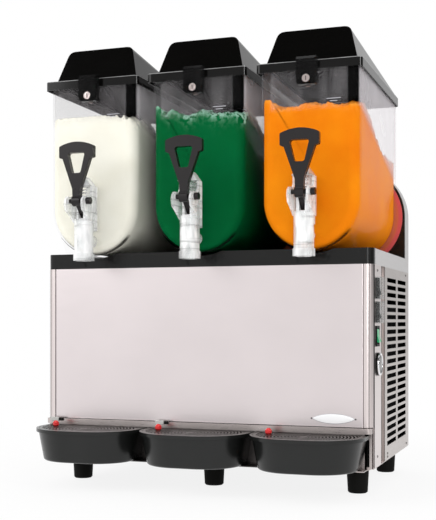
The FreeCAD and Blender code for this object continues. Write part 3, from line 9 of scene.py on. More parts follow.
import bpy
import numpy as np
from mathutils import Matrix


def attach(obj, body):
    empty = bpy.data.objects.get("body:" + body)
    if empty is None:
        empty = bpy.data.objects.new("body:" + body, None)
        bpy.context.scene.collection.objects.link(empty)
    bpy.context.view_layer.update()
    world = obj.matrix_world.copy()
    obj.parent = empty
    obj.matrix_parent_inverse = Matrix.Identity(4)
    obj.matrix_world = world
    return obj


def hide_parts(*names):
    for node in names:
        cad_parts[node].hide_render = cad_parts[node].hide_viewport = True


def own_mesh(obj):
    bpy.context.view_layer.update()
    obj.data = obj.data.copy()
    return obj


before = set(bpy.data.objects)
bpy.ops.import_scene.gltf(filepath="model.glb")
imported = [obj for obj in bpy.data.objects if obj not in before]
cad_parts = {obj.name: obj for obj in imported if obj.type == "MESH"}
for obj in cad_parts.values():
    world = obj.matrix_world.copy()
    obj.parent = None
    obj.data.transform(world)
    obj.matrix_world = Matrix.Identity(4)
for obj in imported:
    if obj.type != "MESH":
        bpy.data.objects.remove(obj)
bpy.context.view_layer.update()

log = logging.getLogger("slush_machine")
MM = 0.001
PANEL_Y = -127.5
PITCH = 198.0
AXIS_Z = 494.5

Array = np.ndarray
Colour = tuple[float, float, float]
Place = tuple[float, float, float]
Span = tuple[float, float]
Faces = list[tuple[int, ...]]
Shell = tuple[Array, Faces]
Socket = bpy.types.NodeSocket
Node = bpy.types.Node
Material = bpy.types.Material
Piece = bpy.types.Object


class Station(Enum):
    """The three bowls, by the x of their middle in millimetres."""

    LEFT = -PITCH
    MIDDLE = 0.0
    RIGHT = PITCH

    @property
    def label(self) -> str:
        """The station's name as the solid pieces spell it."""
        return self.name.lower()


def in_row(points: Array) -> Array:
    """Turns millimetres measured from the panel's foot into metres in the row frame.

    Args:
        points: an array whose last axis is x, y, z in millimetres.

    Returns:
        The same points in metres, with y counted from the footprint's middle.
    """
    return (np.asarray(points, float) + (0.0, PANEL_Y, 0.0)) * MM


def arc(stop: float, count: int, start: float = 0.0) -> Array:
    """Unit vectors at even angles from start to stop, as N by 2."""
    turn = np.linspace(start, stop, count)
    return np.stack([np.cos(turn), np.sin(turn)], axis=1)


def circle(steps: int) -> Array:
    """Unit vectors at even angles all round, as N by 2."""
    return arc(2 * np.pi, steps + 1)[:-1]


def add_object(name: str, data: bpy.types.ID) -> Piece:
    """A new object of the scene."""
    thing = bpy.data.objects.new(name, data)
    bpy.context.scene.collection.objects.link(thing)
    return thing


def add_piece(name: str, parts: list[Shell], body: str, finish: "Finish",
              smooth: float = 40.0) -> Piece:
    """Makes one piece from closed shells and lets it ride a body.

    Args:
        name: the piece's name.
        parts: points in millimetres from the panel's foot, and faces, of each shell.
        body: the body that carries the piece.
        finish: its finish.
        smooth: the angle in degrees under which edges are shaded smooth.

    Returns:
        The new object.
    """
    starts = np.cumsum([0] + [len(points) for points, _ in parts])
    faces = [tuple(int(c + start) for c in f) for (points, group), start in zip(parts, starts)
             for f in outward(points, group)]
    mesh = bpy.data.meshes.new(name)
    mesh.from_pydata(in_row(np.concatenate([p for p, _ in parts])).tolist(), [], faces)
    mesh.validate()
    mesh.update()
    mesh.materials.append(finish.material)
    piece = add_object(name, mesh)
    mesh.shade_smooth()
    mesh.set_sharp_from_angle(angle=math.radians(smooth))
    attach(piece, body)
    log.info("%s: %d faces on %s", name, len(mesh.polygons), body)
    return piece


def outward(points: Array, faces: Faces) -> Faces:
    """Turns the faces of a closed shell so that they point out of it.

    The signed volume is the sum over fans of triangles of the triple product of their
    corners, and it is negative where the faces point in.

    Args:
        points: N by 3 places.
        faces: corner numbers of each face.

    Returns:
        The faces, all reversed if the shell was inside out.
    """
    fans = np.array([(f[0], f[k], f[k + 1]) for f in faces for k in range(1, len(f) - 1)])
    a, b, c = (points[fans[:, k]] - points.mean(axis=0) for k in range(3))
    volume = np.einsum("ij,ij->i", a, np.cross(b, c)).sum()
    return faces if volume > 0 else [f[::-1] for f in faces]


def rings(rows: int, count: int, come_round: bool = False) -> Faces:
    """The quads between closed rings of points, each joined to the next ring.

    Args:
        rows: how many rings there are.
        count: points in each ring.
        come_round: whether the last ring joins the first.

    Returns:
        Four corner numbers for each quad.
    """
    i = np.arange(rows if come_round else rows - 1)[:, None]
    j = np.arange(count)[None, :]
    next_i, next_j = (i + 1) % rows, (j + 1) % count
    quads = np.stack(np.broadcast_arrays(i * count + j, i * count + next_j,
                                         next_i * count + next_j, next_i * count + j), axis=-1)
    return [tuple(q) for q in quads.reshape(-1, 4).tolist()]


def closed(points: Array, come_round: bool = False) -> Shell:
    """Closes rings of points, either on themselves or with a cap at both ends.

    Args:
        points: rings by points by 3 places.
        come_round: whether the last ring joins the first.

    Returns:
        The points as N by 3 and the faces.
    """
    rows, count = points.shape[:2]
    faces = rings(rows, count, come_round)
    if not come_round:
        faces += [tuple(range(count - 1, -1, -1)),
                  tuple(range((rows - 1) * count, rows * count))]
    return points.reshape(-1, 3), faces


def stood(across: Array, up: Array, high: Array, place: Place,
          way: str) -> Array:
    """Stands a shape up so that its height counts along a direction.

    Args:
        across, up, high: arrays of the shape's own coordinates.
        place: where their zero lies, in millimetres.
        way: "-y", "+x", "-x" or "+z".

    Returns:
        Places along a new last axis.
    """
    columns = {"-y": (across, -high, up), "+x": (high, across, up),
               "-x": (-high, across, up), "+z": (across, up, high)}[way]
    return np.stack(np.broadcast_arrays(*columns), axis=-1) + np.asarray(place, float)


def turned(profile: Array, steps: int, place: Place, way: str,
           come_round: bool = False) -> Shell:
    """A solid of revolution: radius and height of a profile swept round an axis.

    Args:
        profile: K by 2 radii and heights.
        steps: points round the axis.
        place: where height zero lies, in millimetres.
        way: the direction in which the heights count.
        come_round: whether the profile's last point joins its first, which makes a ring.

    Returns:
        A closed shell.
    """
    radius, height = profile[:, 0][:, None], profile[:, 1][:, None]
    across, up = circle(steps).T
    return closed(stood(radius * across, radius * up, height, place, way), come_round)


def plate(rim: Array, thick: float, edge: float, place: Place, way: str = "-y",
          crown: float = 0.0) -> Shell:
    """A thin plate with a rounded rim.

    Ring k is the outline drawn in towards its middle by edge * (1 - cos a) and raised to
    thick - edge + edge * sin a, for a from 0 to a right angle, and the last rings close the
    face with a crown that rises by 1 - s * s from the rim to the middle.

    Args:
        rim: N by 2 outline round its own middle, in millimetres.
        thick: the plate's thickness.
        edge: the rim's rounding.
        place: where the plate's back lies, in millimetres.
        way: where the plate looks.
        crown: how far the face bulges.

    Returns:
        A closed shell.
    """
    reach = np.hypot(rim[:, 0], rim[:, 1])[:, None]
    drawn, raised = np.concatenate([[(0.0, 0.0)], (0, thick - edge) + edge * abs(
        (1, 0) - arc(np.pi / 2, 5))]).T
    inner = rim * (1 - drawn[5] / reach)
    shares = np.array([0.75, 0.5, 0.25])
    flat = np.concatenate([rim * (1 - drawn[:, None, None] / reach),
                           inner * shares[:, None, None]])
    high = np.concatenate([raised, thick + crown * (1 - shares ** 2)])[:, None]
    return closed(stood(flat[..., 0], flat[..., 1], high, place, way))


def rounded_box(half_wide: float, half_high: float, corner: float) -> Array:
    """A rectangle with rounded corners as N by 2 points round its middle."""
    middle = np.array([half_wide - corner, half_high - corner])
    return np.concatenate([
        arc((k + 1) * np.pi / 2, 6, k * np.pi / 2) * corner + middle * sign
        for k, sign in enumerate([(1, 1), (-1, 1), (-1, -1), (1, -1)])])


def tile(half: Span, corner: float, thick: float, edge: float, place: Place,
         way: str = "-y") -> Shell:
    """A plate whose outline is a rounded rectangle, by its half width and half height."""
    return plate(rounded_box(*half, corner), thick, edge, place, way)


class Nodes:
    """A short hand for the node tree of a material or a world."""

    def __init__(self, name: str, world: bool = False) -> None:
        """Starts an empty material, or a world, with an output."""
        holder = bpy.data.worlds if world else bpy.data.materials
        self.material = holder.new(name)
        self.material.use_nodes = True
        self.tree = self.material.node_tree
        self.tree.nodes.clear()
        self.output = self.add(f"Output{'World' if world else 'Material'}")
        self.place = self.add("TexCoord").outputs["Generated" if world else "Object"]

    def fill(self, socket: Socket, value: object) -> None:
        """Links a socket to another, or sets it to a number or a colour."""
        if isinstance(value, Socket):
            self.tree.links.new(value, socket)
        else:
            socket.default_value = value

    def add(self, kind: str, **inputs: object) -> Node:
        """Adds a node and fills or links its inputs.

        Args:
            kind: the node's type without "ShaderNode".
            inputs: values or sockets by input name, with underscores for spaces.

        Returns:
            The new node.
        """
        node = self.tree.nodes.new(f"ShaderNode{kind}")
        for name, value in inputs.items():
            self.fill(node.inputs[name.replace("_", " ")], value)
        return node

    def noise(self, scale: float, detail: float = 3.0, stretch: Colour = (1, 1, 1),
              turn: Colour = (0, 0, 0)) -> Socket:
        """Noise on object coordinates, stretched along chosen axes."""
        mapping = self.add("Mapping", Vector=self.place, Scale=stretch, Rotation=turn)
        texture = self.add("TexNoise", Vector=mapping.outputs["Vector"], Scale=scale, Detail=detail)
        return texture.outputs["Fac"]

    def span(self, value: Socket, low: float, high: float, start: float = 0.3,
             stop: float = 0.7) -> Socket:
        """Maps a value from start..stop onto low..high."""
        return self.add("MapRange", Value=value, From_Min=start, From_Max=stop, To_Min=low,
                        To_Max=high).outputs["Result"]

    def maths(self, operation: str, *values: object) -> Socket:
        """The result of one Math node on sockets or numbers."""
        node = self.add("Math")
        node.operation = operation
        for socket, value in zip(node.inputs, values):
            self.fill(socket, value)
        return node.outputs[0]

    def times(self, *factors: object) -> Socket:
        """The product of sockets and numbers."""
        return functools.reduce(lambda a, b: self.maths("MULTIPLY", a, b), factors)

    def along(self, axis: str) -> Socket:
        """One object coordinate in metres."""
        return self.add("SeparateXYZ", Vector=self.place).outputs[axis]

    def facing(self, axis: str) -> Socket:
        """One coordinate of the face's own normal."""
        normal = self.add("NewGeometry").outputs["True Normal"]
        return self.add("SeparateXYZ", Vector=normal).outputs[axis]

    def mixed(self, factor: object, first: Node, second: Node) -> Node:
        """A shader between two, by a factor."""
        node = self.add("MixShader", Fac=factor)
        self.tree.links.new(first.outputs[0], node.inputs[1])
        self.tree.links.new(second.outputs[0], node.inputs[2])
        return node

    def blend(self, factor: Socket, first: Socket | Colour, second: Colour) -> Socket:
        """A colour between two, by a factor."""
        node = self.add("Mix")
        node.data_type = "RGBA"
        self.tree.links.new(factor, node.inputs["Factor"])
        self.fill(node.inputs[6], first if isinstance(first, Socket) else (*first, 1))
        self.fill(node.inputs[7], (*second, 1))
        return node.outputs[2]

    def bump(self, height: Socket, depth: float, strength: float = 1.0) -> Socket:
        """A bump normal from a height between 0 and 1, scaled to a depth in metres."""
        return self.add("Bump", Height=height, Distance=depth, Strength=strength).outputs["Normal"]

    def inside(self, wide: float, front: float, rear: float, low: float) -> Socket:
        """One inside a box of the row frame, open at the top, and nought outside it."""
        across = self.maths("LESS_THAN", self.maths("ABSOLUTE", self.along("X")), wide)
        deep = self.maths("COMPARE", self.along("Y"), (front + rear) / 2, (rear - front) / 2)
        return self.times(across, deep, self.maths("GREATER_THAN", self.along("Z"), low))

    def rays(self, *kinds: str) -> Socket:
        """One for rays of any of some kinds, and nought for others."""
        outputs = self.add("LightPath").outputs
        return functools.reduce(lambda a, b: self.maths("MAXIMUM", a, b),
                                [outputs[f"Is {kind} Ray"] for kind in kinds])

    def from_bowl(self) -> tuple[Socket, Socket]:
        """How far a point lies beside the nearest bowl's middle plane, and from its axis."""
        side = self.maths("WRAP", self.along("X"), PITCH / 2 * MM, -PITCH / 2 * MM)
        up = self.maths("SUBTRACT", self.along("Z"), AXIS_Z * MM)
        square = self.maths("ADD", self.times(side, side), self.times(up, up))
        return side, self.maths("SQRT", square)

    def finish(self, shader: Node) -> Material:
        """Joins the last shader to the output."""
        self.tree.links.new(shader.outputs[0], self.output.inputs["Surface"])
        return self.material


def shade(colour: Colour, factor: float) -> Colour:
    """A colour made lighter or darker by a factor."""
    return tuple(min(1.0, c * factor) for c in colour)


@dataclass(frozen=True)
class Finish:
    """A named finish, whose shader a subclass builds."""

    name: str

    @functools.cached_property
    def material(self) -> Material:
        """The finish's material, built when it is first asked for."""
        n = Nodes(self.name)
        return n.finish(self.shader(n))


@dataclass(frozen=True)
class Moulded(Finish):
    """Moulded plastic or rubber: an even colour with a fine grain."""

    colour: Colour
    roughness: float = 0.4
    grain: float = 900.0
    depth: float = 0.00003
    variation: float = 0.15
    gloss: float = 0.5
    under_gloss: float | None = None
    edge_z: float | None = None
    # The colour of the painted highlight along the rim's top edge.
    worn: Colour = (0.30, 0.30, 0.30)

    def shader(self, n: Nodes) -> Node:
        """Builds the shader: blotchy colour, uneven gloss and a grain bump.

        With an under gloss, faces that look down shine only that much, and faces that look
        forward less than the rest. With an edge height, the last millimetre under it is painted
        pale in patches, a painted highlight along the rim's top edge.
        """
        broad, fine = n.noise(9.0, 4.0), n.noise(self.grain, 2.0)
        colour = n.blend(n.span(broad, 0, 1), shade(self.colour, 1 - self.variation),
                         shade(self.colour, 1 + self.variation))
        if self.edge_z is not None:
            # Painted highlight: a pale band along the rim's top edge, broken by noise.
            near = n.maths("COMPARE", n.along("Z"), self.edge_z - 0.0005, 0.0006)
            colour = n.blend(n.times(near, n.span(n.noise(30.0), 0.5, 1.0)), colour, self.worn)
        gloss = self.gloss
        if self.under_gloss is not None:
            gloss = n.times(n.span(n.facing("Z"), self.under_gloss, self.gloss, -0.6, -0.3),
                            n.span(n.facing("Y"), 0.55, 1.0, -1.0, -0.85))
        return n.add("BsdfPrincipled", Base_Color=colour, Specular_IOR_Level=gloss,
                     Roughness=n.span(broad, self.roughness * 0.88, self.roughness * 1.12),
                     Normal=n.bump(fine, self.depth))


@dataclass(frozen=True)
class Metal(Finish):
    """Sheet or cast metal with a grain that can run along one axis.

    The cabinet's inside, from its front to its rear and above the pan's level, is painted black
    as painted shade. The outer trays' ends are where the painted shade on the pan's front fades
    out.
    """

    colour: Colour
    roughness: float = 0.3
    stretch: Colour = (1, 1, 1)
    grain: float = 60.0
    depth: float = 0.00002
    metallic: float = 1.0
    uneven: float = 0.15
    # Width within which the cabinet's inside is painted black as painted shade.
    dark_within: float | None = None
    dark_front: float = -0.1262
    dark_rear: float = 0.2362
    dark_low: float = 0.0525
    side_shade: float | None = None
    # Height below which the pan's front between the trays is painted black as painted shade.
    painted_below: float | None = None
    tray_ends: Span = (0.262, 0.274)

    def shader(self, n: Nodes) -> Node:
        """Builds the shader: brush marks in gloss and bump, and faint smears in colour.

        With a side shade, the colour has no smears, and faces that look sideways are that much
        darker than the front's, a painted shade. With a dark width, faces within that distance of
        the middle plane and inside the cabinet are painted black as painted shade. Below a shaded
        height the sheet is painted black between the outer trays' ends, as painted shade too.
        """
        if self.side_shade is None:
            colour = n.blend(n.span(n.noise(5.0), 0, 1), shade(self.colour, 0.96),
                             shade(self.colour, 1.03))
        else:
            sideways = n.span(n.maths("ABSOLUTE", n.facing("X")), 0.0, 1.0, 0.25, 0.9)
            colour = n.blend(sideways, self.colour, shade(self.colour, self.side_shade))
        # Painted shade: inside the cabinet the sheet is painted near black, and below the shaded
        # height so is the pan's front between the trays.
        if self.dark_within is not None:
            dark = n.inside(self.dark_within, self.dark_front, self.dark_rear, self.dark_low)
            if self.painted_below is not None:
                middle = n.span(n.maths("ABSOLUTE", n.along("X")), 0.9, 0.0, *self.tray_ends)
                low = n.maths("LESS_THAN", n.along("Z"), self.painted_below)
                dark = n.maths("MAXIMUM", dark, n.times(middle, low))
            colour = n.blend(dark, colour, (0.008, 0.008, 0.008))
        brush = n.noise(self.grain, 4.0, self.stretch)
        return n.add("BsdfPrincipled", Base_Color=colour, Metallic=self.metallic,
                     Roughness=n.span(brush, self.roughness * (1 - self.uneven),
                                      self.roughness * (1 + self.uneven)),
                     Normal=n.bump(brush, self.depth))


@dataclass(frozen=True)
class Clear(Finish):
    """Clear or smoked plastic sheet that shows what is behind it."""

    tint: Colour
    body: Colour = (1.0, 1.0, 1.0)
    haze: float = 0.0
    roughness: float = 0.04
    strength: float = 0.95

    def skin(self, n: Nodes, share: float | Socket = 1.0) -> Node:
        """See-through in the middle and mirror-like at its rims, as the angle of sight flattens.

        The mirrored share is the facing value to the fifth power. Light that comes to or from
        what lies behind the sheet passes unweakened.

        Args:
            n: the node tree to build in.
            share: a further factor on the mirrored share.

        Returns:
            The shader.
        """
        mirror = n.add("BsdfGlossy", Color=(*self.body, 1),
                       Roughness=n.span(n.noise(14.0, 2.0), self.roughness * 0.7,
                                        self.roughness * 1.4))
        clear = n.add("BsdfTransparent", Color=(*self.tint, 1))
        facing = n.add("LayerWeight", Blend=0.5).outputs["Facing"]
        amount = n.times(n.maths("POWER", facing, 5.0), self.strength,
                         n.maths("SUBTRACT", 1.0, n.rays("Shadow", "Diffuse")), share)
        return n.mixed(amount, clear, mirror)

    def shader(self, n: Nodes) -> Node:
        """Builds the shader: the skin under a faint even haze."""
        dust = n.add("BsdfDiffuse", Color=(*self.body, 1))
        amount = n.span(n.noise(30.0), self.haze * 0.7, self.haze * 1.3)
        return n.mixed(amount, self.skin(n), dust)


@dataclass(frozen=True)
class BowlClear(Clear):
    """Clear bowl plastic, misted over the ice, with painted dark refraction lines in its thick
    front corners, a painted pale reflection on its side walls and a painted shadow line at its
    foot.

    A pair says between which places, in metres of the row frame, a share rises or falls: along
    the height, towards the front, from the bowl's middle plane, or from its axis for the rim.
    """

    mist: float = 0.030
    mist_height: Span = (0.640, 0.650)
    flat_side: Span = (0.064, 0.068)
    flat_front: Span = (-0.1485, -0.1480)
    # The painted pale reflection on the side walls: its strength, slope, line, height and share on
    # the left wall.
    veil: float = 0.33
    veil_slope: float = 0.27
    veil_line: Span = (0.604, 0.620)
    veil_height: Span = (0.455, 0.600)
    left_veil: float = 0.45
    wall_side: Span = (0.0812, 0.0820)
    dull_height: Span = (0.430, 0.570)
    # Where the painted dark refraction lines of the right corner lie.
    bend_inner: Span = (0.0650, 0.0668)
    bend_outer: Span = (0.0822, 0.0832)
    bend_height: Span = (0.6500, 0.6580)
    # Where the painted shadow line at the front's foot lies, and how far forward both dark marks
    # reach.
    rim_radius: Span = (0.0818, 0.0828)
    rim_height: Span = (0.4370, 0.4470)
    dark_front: Span = (-0.1400, -0.1370)

    def shader(self, n: Nodes) -> Node:
        """Builds the shader from the distance to the nearest bowl's middle plane.

        Over the ice the flat front carries mist, drops and streaks, the rounded corner at its
        right has painted black lines in place of the dark bands that refraction shows there, and
        the side walls carry a painted pale reflection that thins out downwards, less of it on the
        left wall. The painted reflection starts where z + slope * y passes its line. Near the deck
        the wall mirrors less, and its front has a painted dark rim, a painted shadow line.
        """
        y, z = n.along("Y"), n.along("Z")
        side, radius = n.from_bowl()
        across = n.maths("ABSOLUTE", side)
        streak = n.noise(45.0, 2.0, (1.0, 1.0, 0.12), (0.0, 0.9, 0.0))
        grain = n.span(streak, self.mist * 0.6, self.mist * 2.2, 0.35, 0.75)
        drops = n.span(n.noise(260.0, 1.0), 0.0, 0.5, 0.74, 0.78)
        front = n.times(n.span(across, 1.0, 0.0, *self.flat_side),
                        n.span(y, 1.0, 0.0, *self.flat_front),
                        n.span(z, 0.0, 1.0, *self.mist_height), n.maths("ADD", grain, drops))
        line = n.maths("ADD", z, n.times(y, self.veil_slope))
        # Painted reflection: a pale diffuse on the upper side walls, thinning downwards.
        veil = n.times(n.span(across, 0.0, 1.0, *self.wall_side),
                       n.span(line, 0.0, self.veil, *self.veil_line),
                       n.span(n.noise(9.0, 2.0), 0.85, 1.05),
                       n.span(side, self.left_veil, 1.0, -MM, MM),
                       n.span(z, 0.0, 1.0, *self.veil_height))
        # The mist and the painted reflection share this pale diffuse.
        dust = n.add("BsdfDiffuse", Color=(0.80, 0.76, 0.79, 1))
        dull = n.span(z, 0.15, 1.0, *self.dull_height)
        coat = n.mixed(n.maths("MAXIMUM", front, veil), self.skin(n, dull), dust)
        # Painted dark refraction lines down the right front corner.
        bend = n.times(n.span(side, 0.0, 1.0, *self.bend_inner),
                       n.span(side, 1.0, 0.0, *self.bend_outer),
                       n.span(z, 0.0, 1.0, *self.bend_height),
                       n.span(n.noise(420.0, 2.0, (1.0, 1.0, 0.01)), 0.35, 0.95, 0.38, 0.56))
        # Painted shadow line along the front's foot, near the deck.
        rim = n.times(n.span(radius, 0.0, 0.85, *self.rim_radius),
                      n.span(z, 1.0, 0.0, *self.rim_height))
        black = n.add("BsdfDiffuse", Color=(0.004, 0.004, 0.004, 1))
        amount = n.times(n.span(y, 1.0, 0.0, *self.dark_front), n.maths("MAXIMUM", rim, bend))
        return n.mixed(amount, coat, black)


@dataclass(frozen=True)
class Gasket(Finish):
    """Soft red ring, brighter towards its rim where it is seen past the bowl's flange."""

    inner: Colour
    outer: Colour
    turn: Span = (0.089, 0.092)

    def shader(self, n: Nodes) -> Node:
        """Builds the shader: colour by the distance from the nearest bowl's axis."""
        cloud = n.times(n.maths("SUBTRACT", n.noise(90.0, 2.0), 0.5), 2 * MM)
        share = n.span(n.maths("ADD", n.from_bowl()[1], cloud), 0.0, 1.0, *self.turn)
        return n.add("BsdfPrincipled", Base_Color=n.blend(share, self.inner, self.outer),
                     Roughness=n.span(n.noise(60.0), 0.35, 0.5))


@dataclass(frozen=True)
class Frosted(Finish):
    """Thick clear plastic, milky white where solid, that sparkles at its painted dark edges."""

    tint: Colour
    low: float
    high: float
    # The colour of the painted dark contours and rings.
    edge: Colour = (0.16, 0.17, 0.16)
    rim: Span = (0.72, 0.97)
    ring: float = 260.0

    def shader(self, n: Nodes) -> Node:
        """Builds the shader: white patches in clear plastic, wet gloss and painted dark rims.

        Faint painted dark rings lie at uneven heights, as the shade at moulded steps shows.
        """
        cloud, ripple = n.noise(60.0, 1.5, (1.0, 1.0, 0.4)), n.noise(110.0, 1.0)
        # Painted dark contour where the sight grazes the surface, and painted dark rings.
        rim = n.span(n.add("LayerWeight", Blend=0.5).outputs["Facing"], 0.0, 1.0, *self.rim)
        ring = n.span(n.noise(self.ring, 1.0, (0.03, 0.03, 1.0)), 0.0, 0.45, 0.60, 0.66)
        colour = n.blend(n.maths("MAXIMUM", rim, ring), (0.98, 0.98, 0.98), self.edge)
        milk = n.add("BsdfPrincipled", Base_Color=colour, Roughness=0.12, Specular_IOR_Level=0.5,
                     Normal=n.bump(ripple, 0.0003, 0.3))
        clear = n.add("BsdfTransparent", Color=(*self.tint, 1))
        share = n.maths("ADD", n.span(cloud, self.low, self.high, 0.4, 0.6), n.times(rim, 0.6))
        return n.mixed(n.maths("MINIMUM", share, 1.0), clear, milk)


@dataclass(frozen=True)
class Ice(Finish):
    """Slush: wet crystals in one colour, frosted at the top edge."""

    colour: Colour
    pale: Colour
    frost: Colour
    frost_share: float

    def shader(self, n: Nodes) -> Node:
        """Builds the shader: cloudy colour, frost by the piece's own attribute, wet gloss."""
        cloud, crystal = n.noise(16.0, 5.0), n.noise(420.0)
        near = n.add("Attribute")
        near.attribute_name = "frost"
        amount = n.times(near.outputs["Fac"], n.span(n.noise(120.0, 4.0), 0.0, 1.0, 0.42, 0.56),
                         self.frost_share)
        colour = n.blend(n.span(cloud, 0, 1), self.colour, self.pale)
        return n.add("BsdfPrincipled", Base_Color=n.blend(amount, colour, self.frost),
                     Roughness=n.span(cloud, 0.45, 0.65), Specular_IOR_Level=0.02,
                     Normal=n.bump(crystal, 0.0004, 0.4))


BRUSHED = {"stretch": (1, 1, 30), "grain": 35.0, "depth": 0.00001}
# Inside the cabinet the stainless sheet is painted black as painted shade.
STAINLESS = Metal("stainless sheet", (0.735, 0.67, 0.675), 0.33, **BRUSHED, dark_within=0.2935)
GREY_COAT = Moulded("grey coat", (0.47, 0.46, 0.46), 0.45, 500.0, 0.00004, 0.03, 0.3)
DECK_BLACK = Moulded("deck black", (0.004, 0.004, 0.0037), 0.22, 700.0, 0.00002, 0.15, 0.29)
GRILLE_BLACK = Moulded("grille black", (0.030, 0.025, 0.023), 0.30, 800.0, 0.00003, 0.15, 0.5)
SWITCH_BLACK = Moulded("switch black", (0.008, 0.008, 0.008), 0.5, 600.0, 0.00002, 0.1, 0.06)
POT_BLACK = Moulded("pot black", (0.006, 0.006, 0.006), 0.6, 300.0, 0.00005, 0.15, 0.03)
SEAL_RED = Gasket("seal red", (0.62, 0.125, 0.05), (0.66, 0.085, 0.09))
CHROME = Metal("chrome", (0.88, 0.88, 0.90), 0.08, grain=200.0, depth=0.000005)
SPRING_STEEL = Metal("spring wire", (0.66, 0.66, 0.68), 0.25, grain=500.0)
MARK = Moulded("printed mark", (0.42, 0.42, 0.45), 0.5, 300.0, 0.00001, 0.1)
BADGE = Moulded("badge plate", (0.93, 0.93, 0.94), 0.25, 80.0, 0.00001, 0.01)
SCREW_DARK = Metal("screw", (0.12, 0.11, 0.11), 0.35, grain=300.0)
SEAM_DARK = Moulded("seam", (0.012, 0.011, 0.010), 0.6, 300.0, 0.00001, 0.1, 0.1)
CLIP_GREY = Moulded("clip grey", (0.50, 0.50, 0.48), 0.4, 300.0, 0.00002, 0.08)
KNOB_GREY = Moulded("knob cap", (0.22, 0.22, 0.22), 0.18, 300.0, 0.00001, 0.1)
FINISHES = {
    # The base sheet's inside and its front below 97 mm between the trays are painted black as
    # painted shade.
    "base_frame": Metal("base sheet", (0.56, 0.50, 0.485), 0.30, **BRUSHED, dark_within=0.2935,
                        painted_below=0.097),
    "front_panel": STAINLESS,
    # Posts and side sheet are painted black inside the cabinet as painted shade, and the posts'
    # sides carry a painted shade.
    "corner_posts": Metal("post sheet", (0.735, 0.66, 0.65), 0.30, (1, 1, 30), 9.0, 0.0000005,
                          uneven=0.03, dark_within=0.2935, side_shade=0.95),
    "side_panels": Metal("side sheet", (0.53, 0.488, 0.468), 0.33, **BRUSHED,
                         dark_within=0.2992, dark_front=-0.0230),
    "rear_panel": STAINLESS,
    "deck": DECK_BLACK,
    "side_rails": GREY_COAT,
    "tower_shell": GREY_COAT,
    "tower_face": DECK_BLACK,
    "feet": Moulded("foot rubber", (0.004, 0.004, 0.0035), 0.7, 1200.0, 0.00006, 0.15, 0.12),
    "evaporators": Metal("evaporator steel", (0.75, 0.76, 0.78), 0.2, (1, 20, 1), 40.0),
    "bowl_gaskets": SEAL_RED,
    "gearmotors": Metal("cast housing", (0.42, 0.43, 0.45), 0.55, (1, 1, 1), 500.0, 0.0001, 0.8),
    "compressor": POT_BLACK,
    # Painted shade: the fins and the zinc sheet are darkened far below their metals' tone, so the
    # cabinet's inside shows dark through the louvres.
    "condenser": Moulded("fins", (0.008, 0.008, 0.009), 0.7, 900.0, 0.0001, 0.3, 0.02),
    "fan_shroud": Metal("zinc sheet", (0.10, 0.10, 0.105), 0.45, (1, 1, 1), 30.0, 0.00003),
    "fan": POT_BLACK,
    "refrigerant_lines": Metal("copper tube", (0.72, 0.40, 0.26), 0.3, grain=80.0),
    "switch_housings": SWITCH_BLACK,
    "switch_covers": Clear("cover clear", (0.90, 0.91, 0.91), haze=0.03, strength=0.35),
    "knob": DECK_BLACK,
    "rocker_mixer": SWITCH_BLACK,
    "rocker_cooling": SWITCH_BLACK,
    "rocker_main": Moulded("switch green", (0.02, 0.42, 0.16), 0.25, 600.0, 0.00001),
    "bowl": BowlClear("bowl clear", (0.985, 0.985, 0.985), strength=0.17),
    "tap_body": Frosted("tap clear", (0.95, 0.96, 0.96), 0.25, 0.70),
    "tap_handle": Moulded("handle black", (0.011, 0.009, 0.0095), 0.30, 900.0, 0.00002, 0.1, 0.3),
    "tap_piston": Frosted("piston clear", (0.95, 0.96, 0.96), 0.85, 1.0),
    "tap_spring": SPRING_STEEL,
    # The lid's rim top edge carries a painted highlight.
    "lid": Moulded("lid black", (0.0018, 0.0017, 0.0015), 0.10, 60.0, 0.00001, gloss=0.33,
                   under_gloss=0.03, edge_z=0.7225),
    "lock_housing": Clear("smoked plastic", (0.16, 0.15, 0.15), (0.9, 0.9, 0.9), 0.008,
                          strength=0.7),
    "lock_cylinder": Metal("lock metal", (0.42, 0.36, 0.35), 0.22, (1, 1, 1), 260.0, 0.0005),
    "auger": Moulded("white plastic", (0.80, 0.82, 0.84), 0.35, 600.0, 0.00002, 0.03),
    "drip_tray": Moulded("tray black", (0.007, 0.0075, 0.0072), 0.24, 800.0, 0.00002, 0.15, 0.38),
    "drip_grille": GRILLE_BLACK,
    "level_float": Moulded("float red", (0.72, 0.03, 0.03), 0.25, 600.0, 0.00001),
}
SLUSH = {
    # The cream's edge colour is darker than its ice, so its top edge is darker, not paler.
    Station.LEFT: Ice("slush cream", (0.82, 0.80, 0.69), (0.88, 0.865, 0.77),
                      (0.48, 0.48, 0.44), 0.6),
    Station.MIDDLE: Ice("slush green", (0.0003, 0.096, 0.025), (0.0008, 0.110, 0.031),
                        (0.45, 0.78, 0.62), 0.9),
    Station.RIGHT: Ice("slush orange", (0.78, 0.190, 0.003), (0.85, 0.255, 0.005),
                       (0.95, 0.45, 0.08), 0.5),
}
EDGES = {
    Station.LEFT: ((-84, 651), (-70, 659), (-50, 660), (-25, 660), (0, 660), (20, 660),
                   (36, 657), (46, 659), (54, 652), (60, 658), (66, 649), (72, 653), (78, 639),
                   (85, 632)),
    Station.MIDDLE: ((-84, 666), (-72, 669), (-62, 661), (-57, 653), (-47, 663), (-35, 657),
                     (-20, 645), (-10, 646), (4, 655), (17, 654), (28, 646), (50, 645),
                     (66, 648), (80, 638), (85, 624)),
    Station.RIGHT: ((-84, 656), (-78, 665), (-66, 665), (-57, 654), (-48, 646), (-36, 651),
                    (-20, 651), (-10, 656), (6, 654), (20, 650), (33, 656), (44, 650),
                    (62, 647), (74, 650), (85, 645)),
}
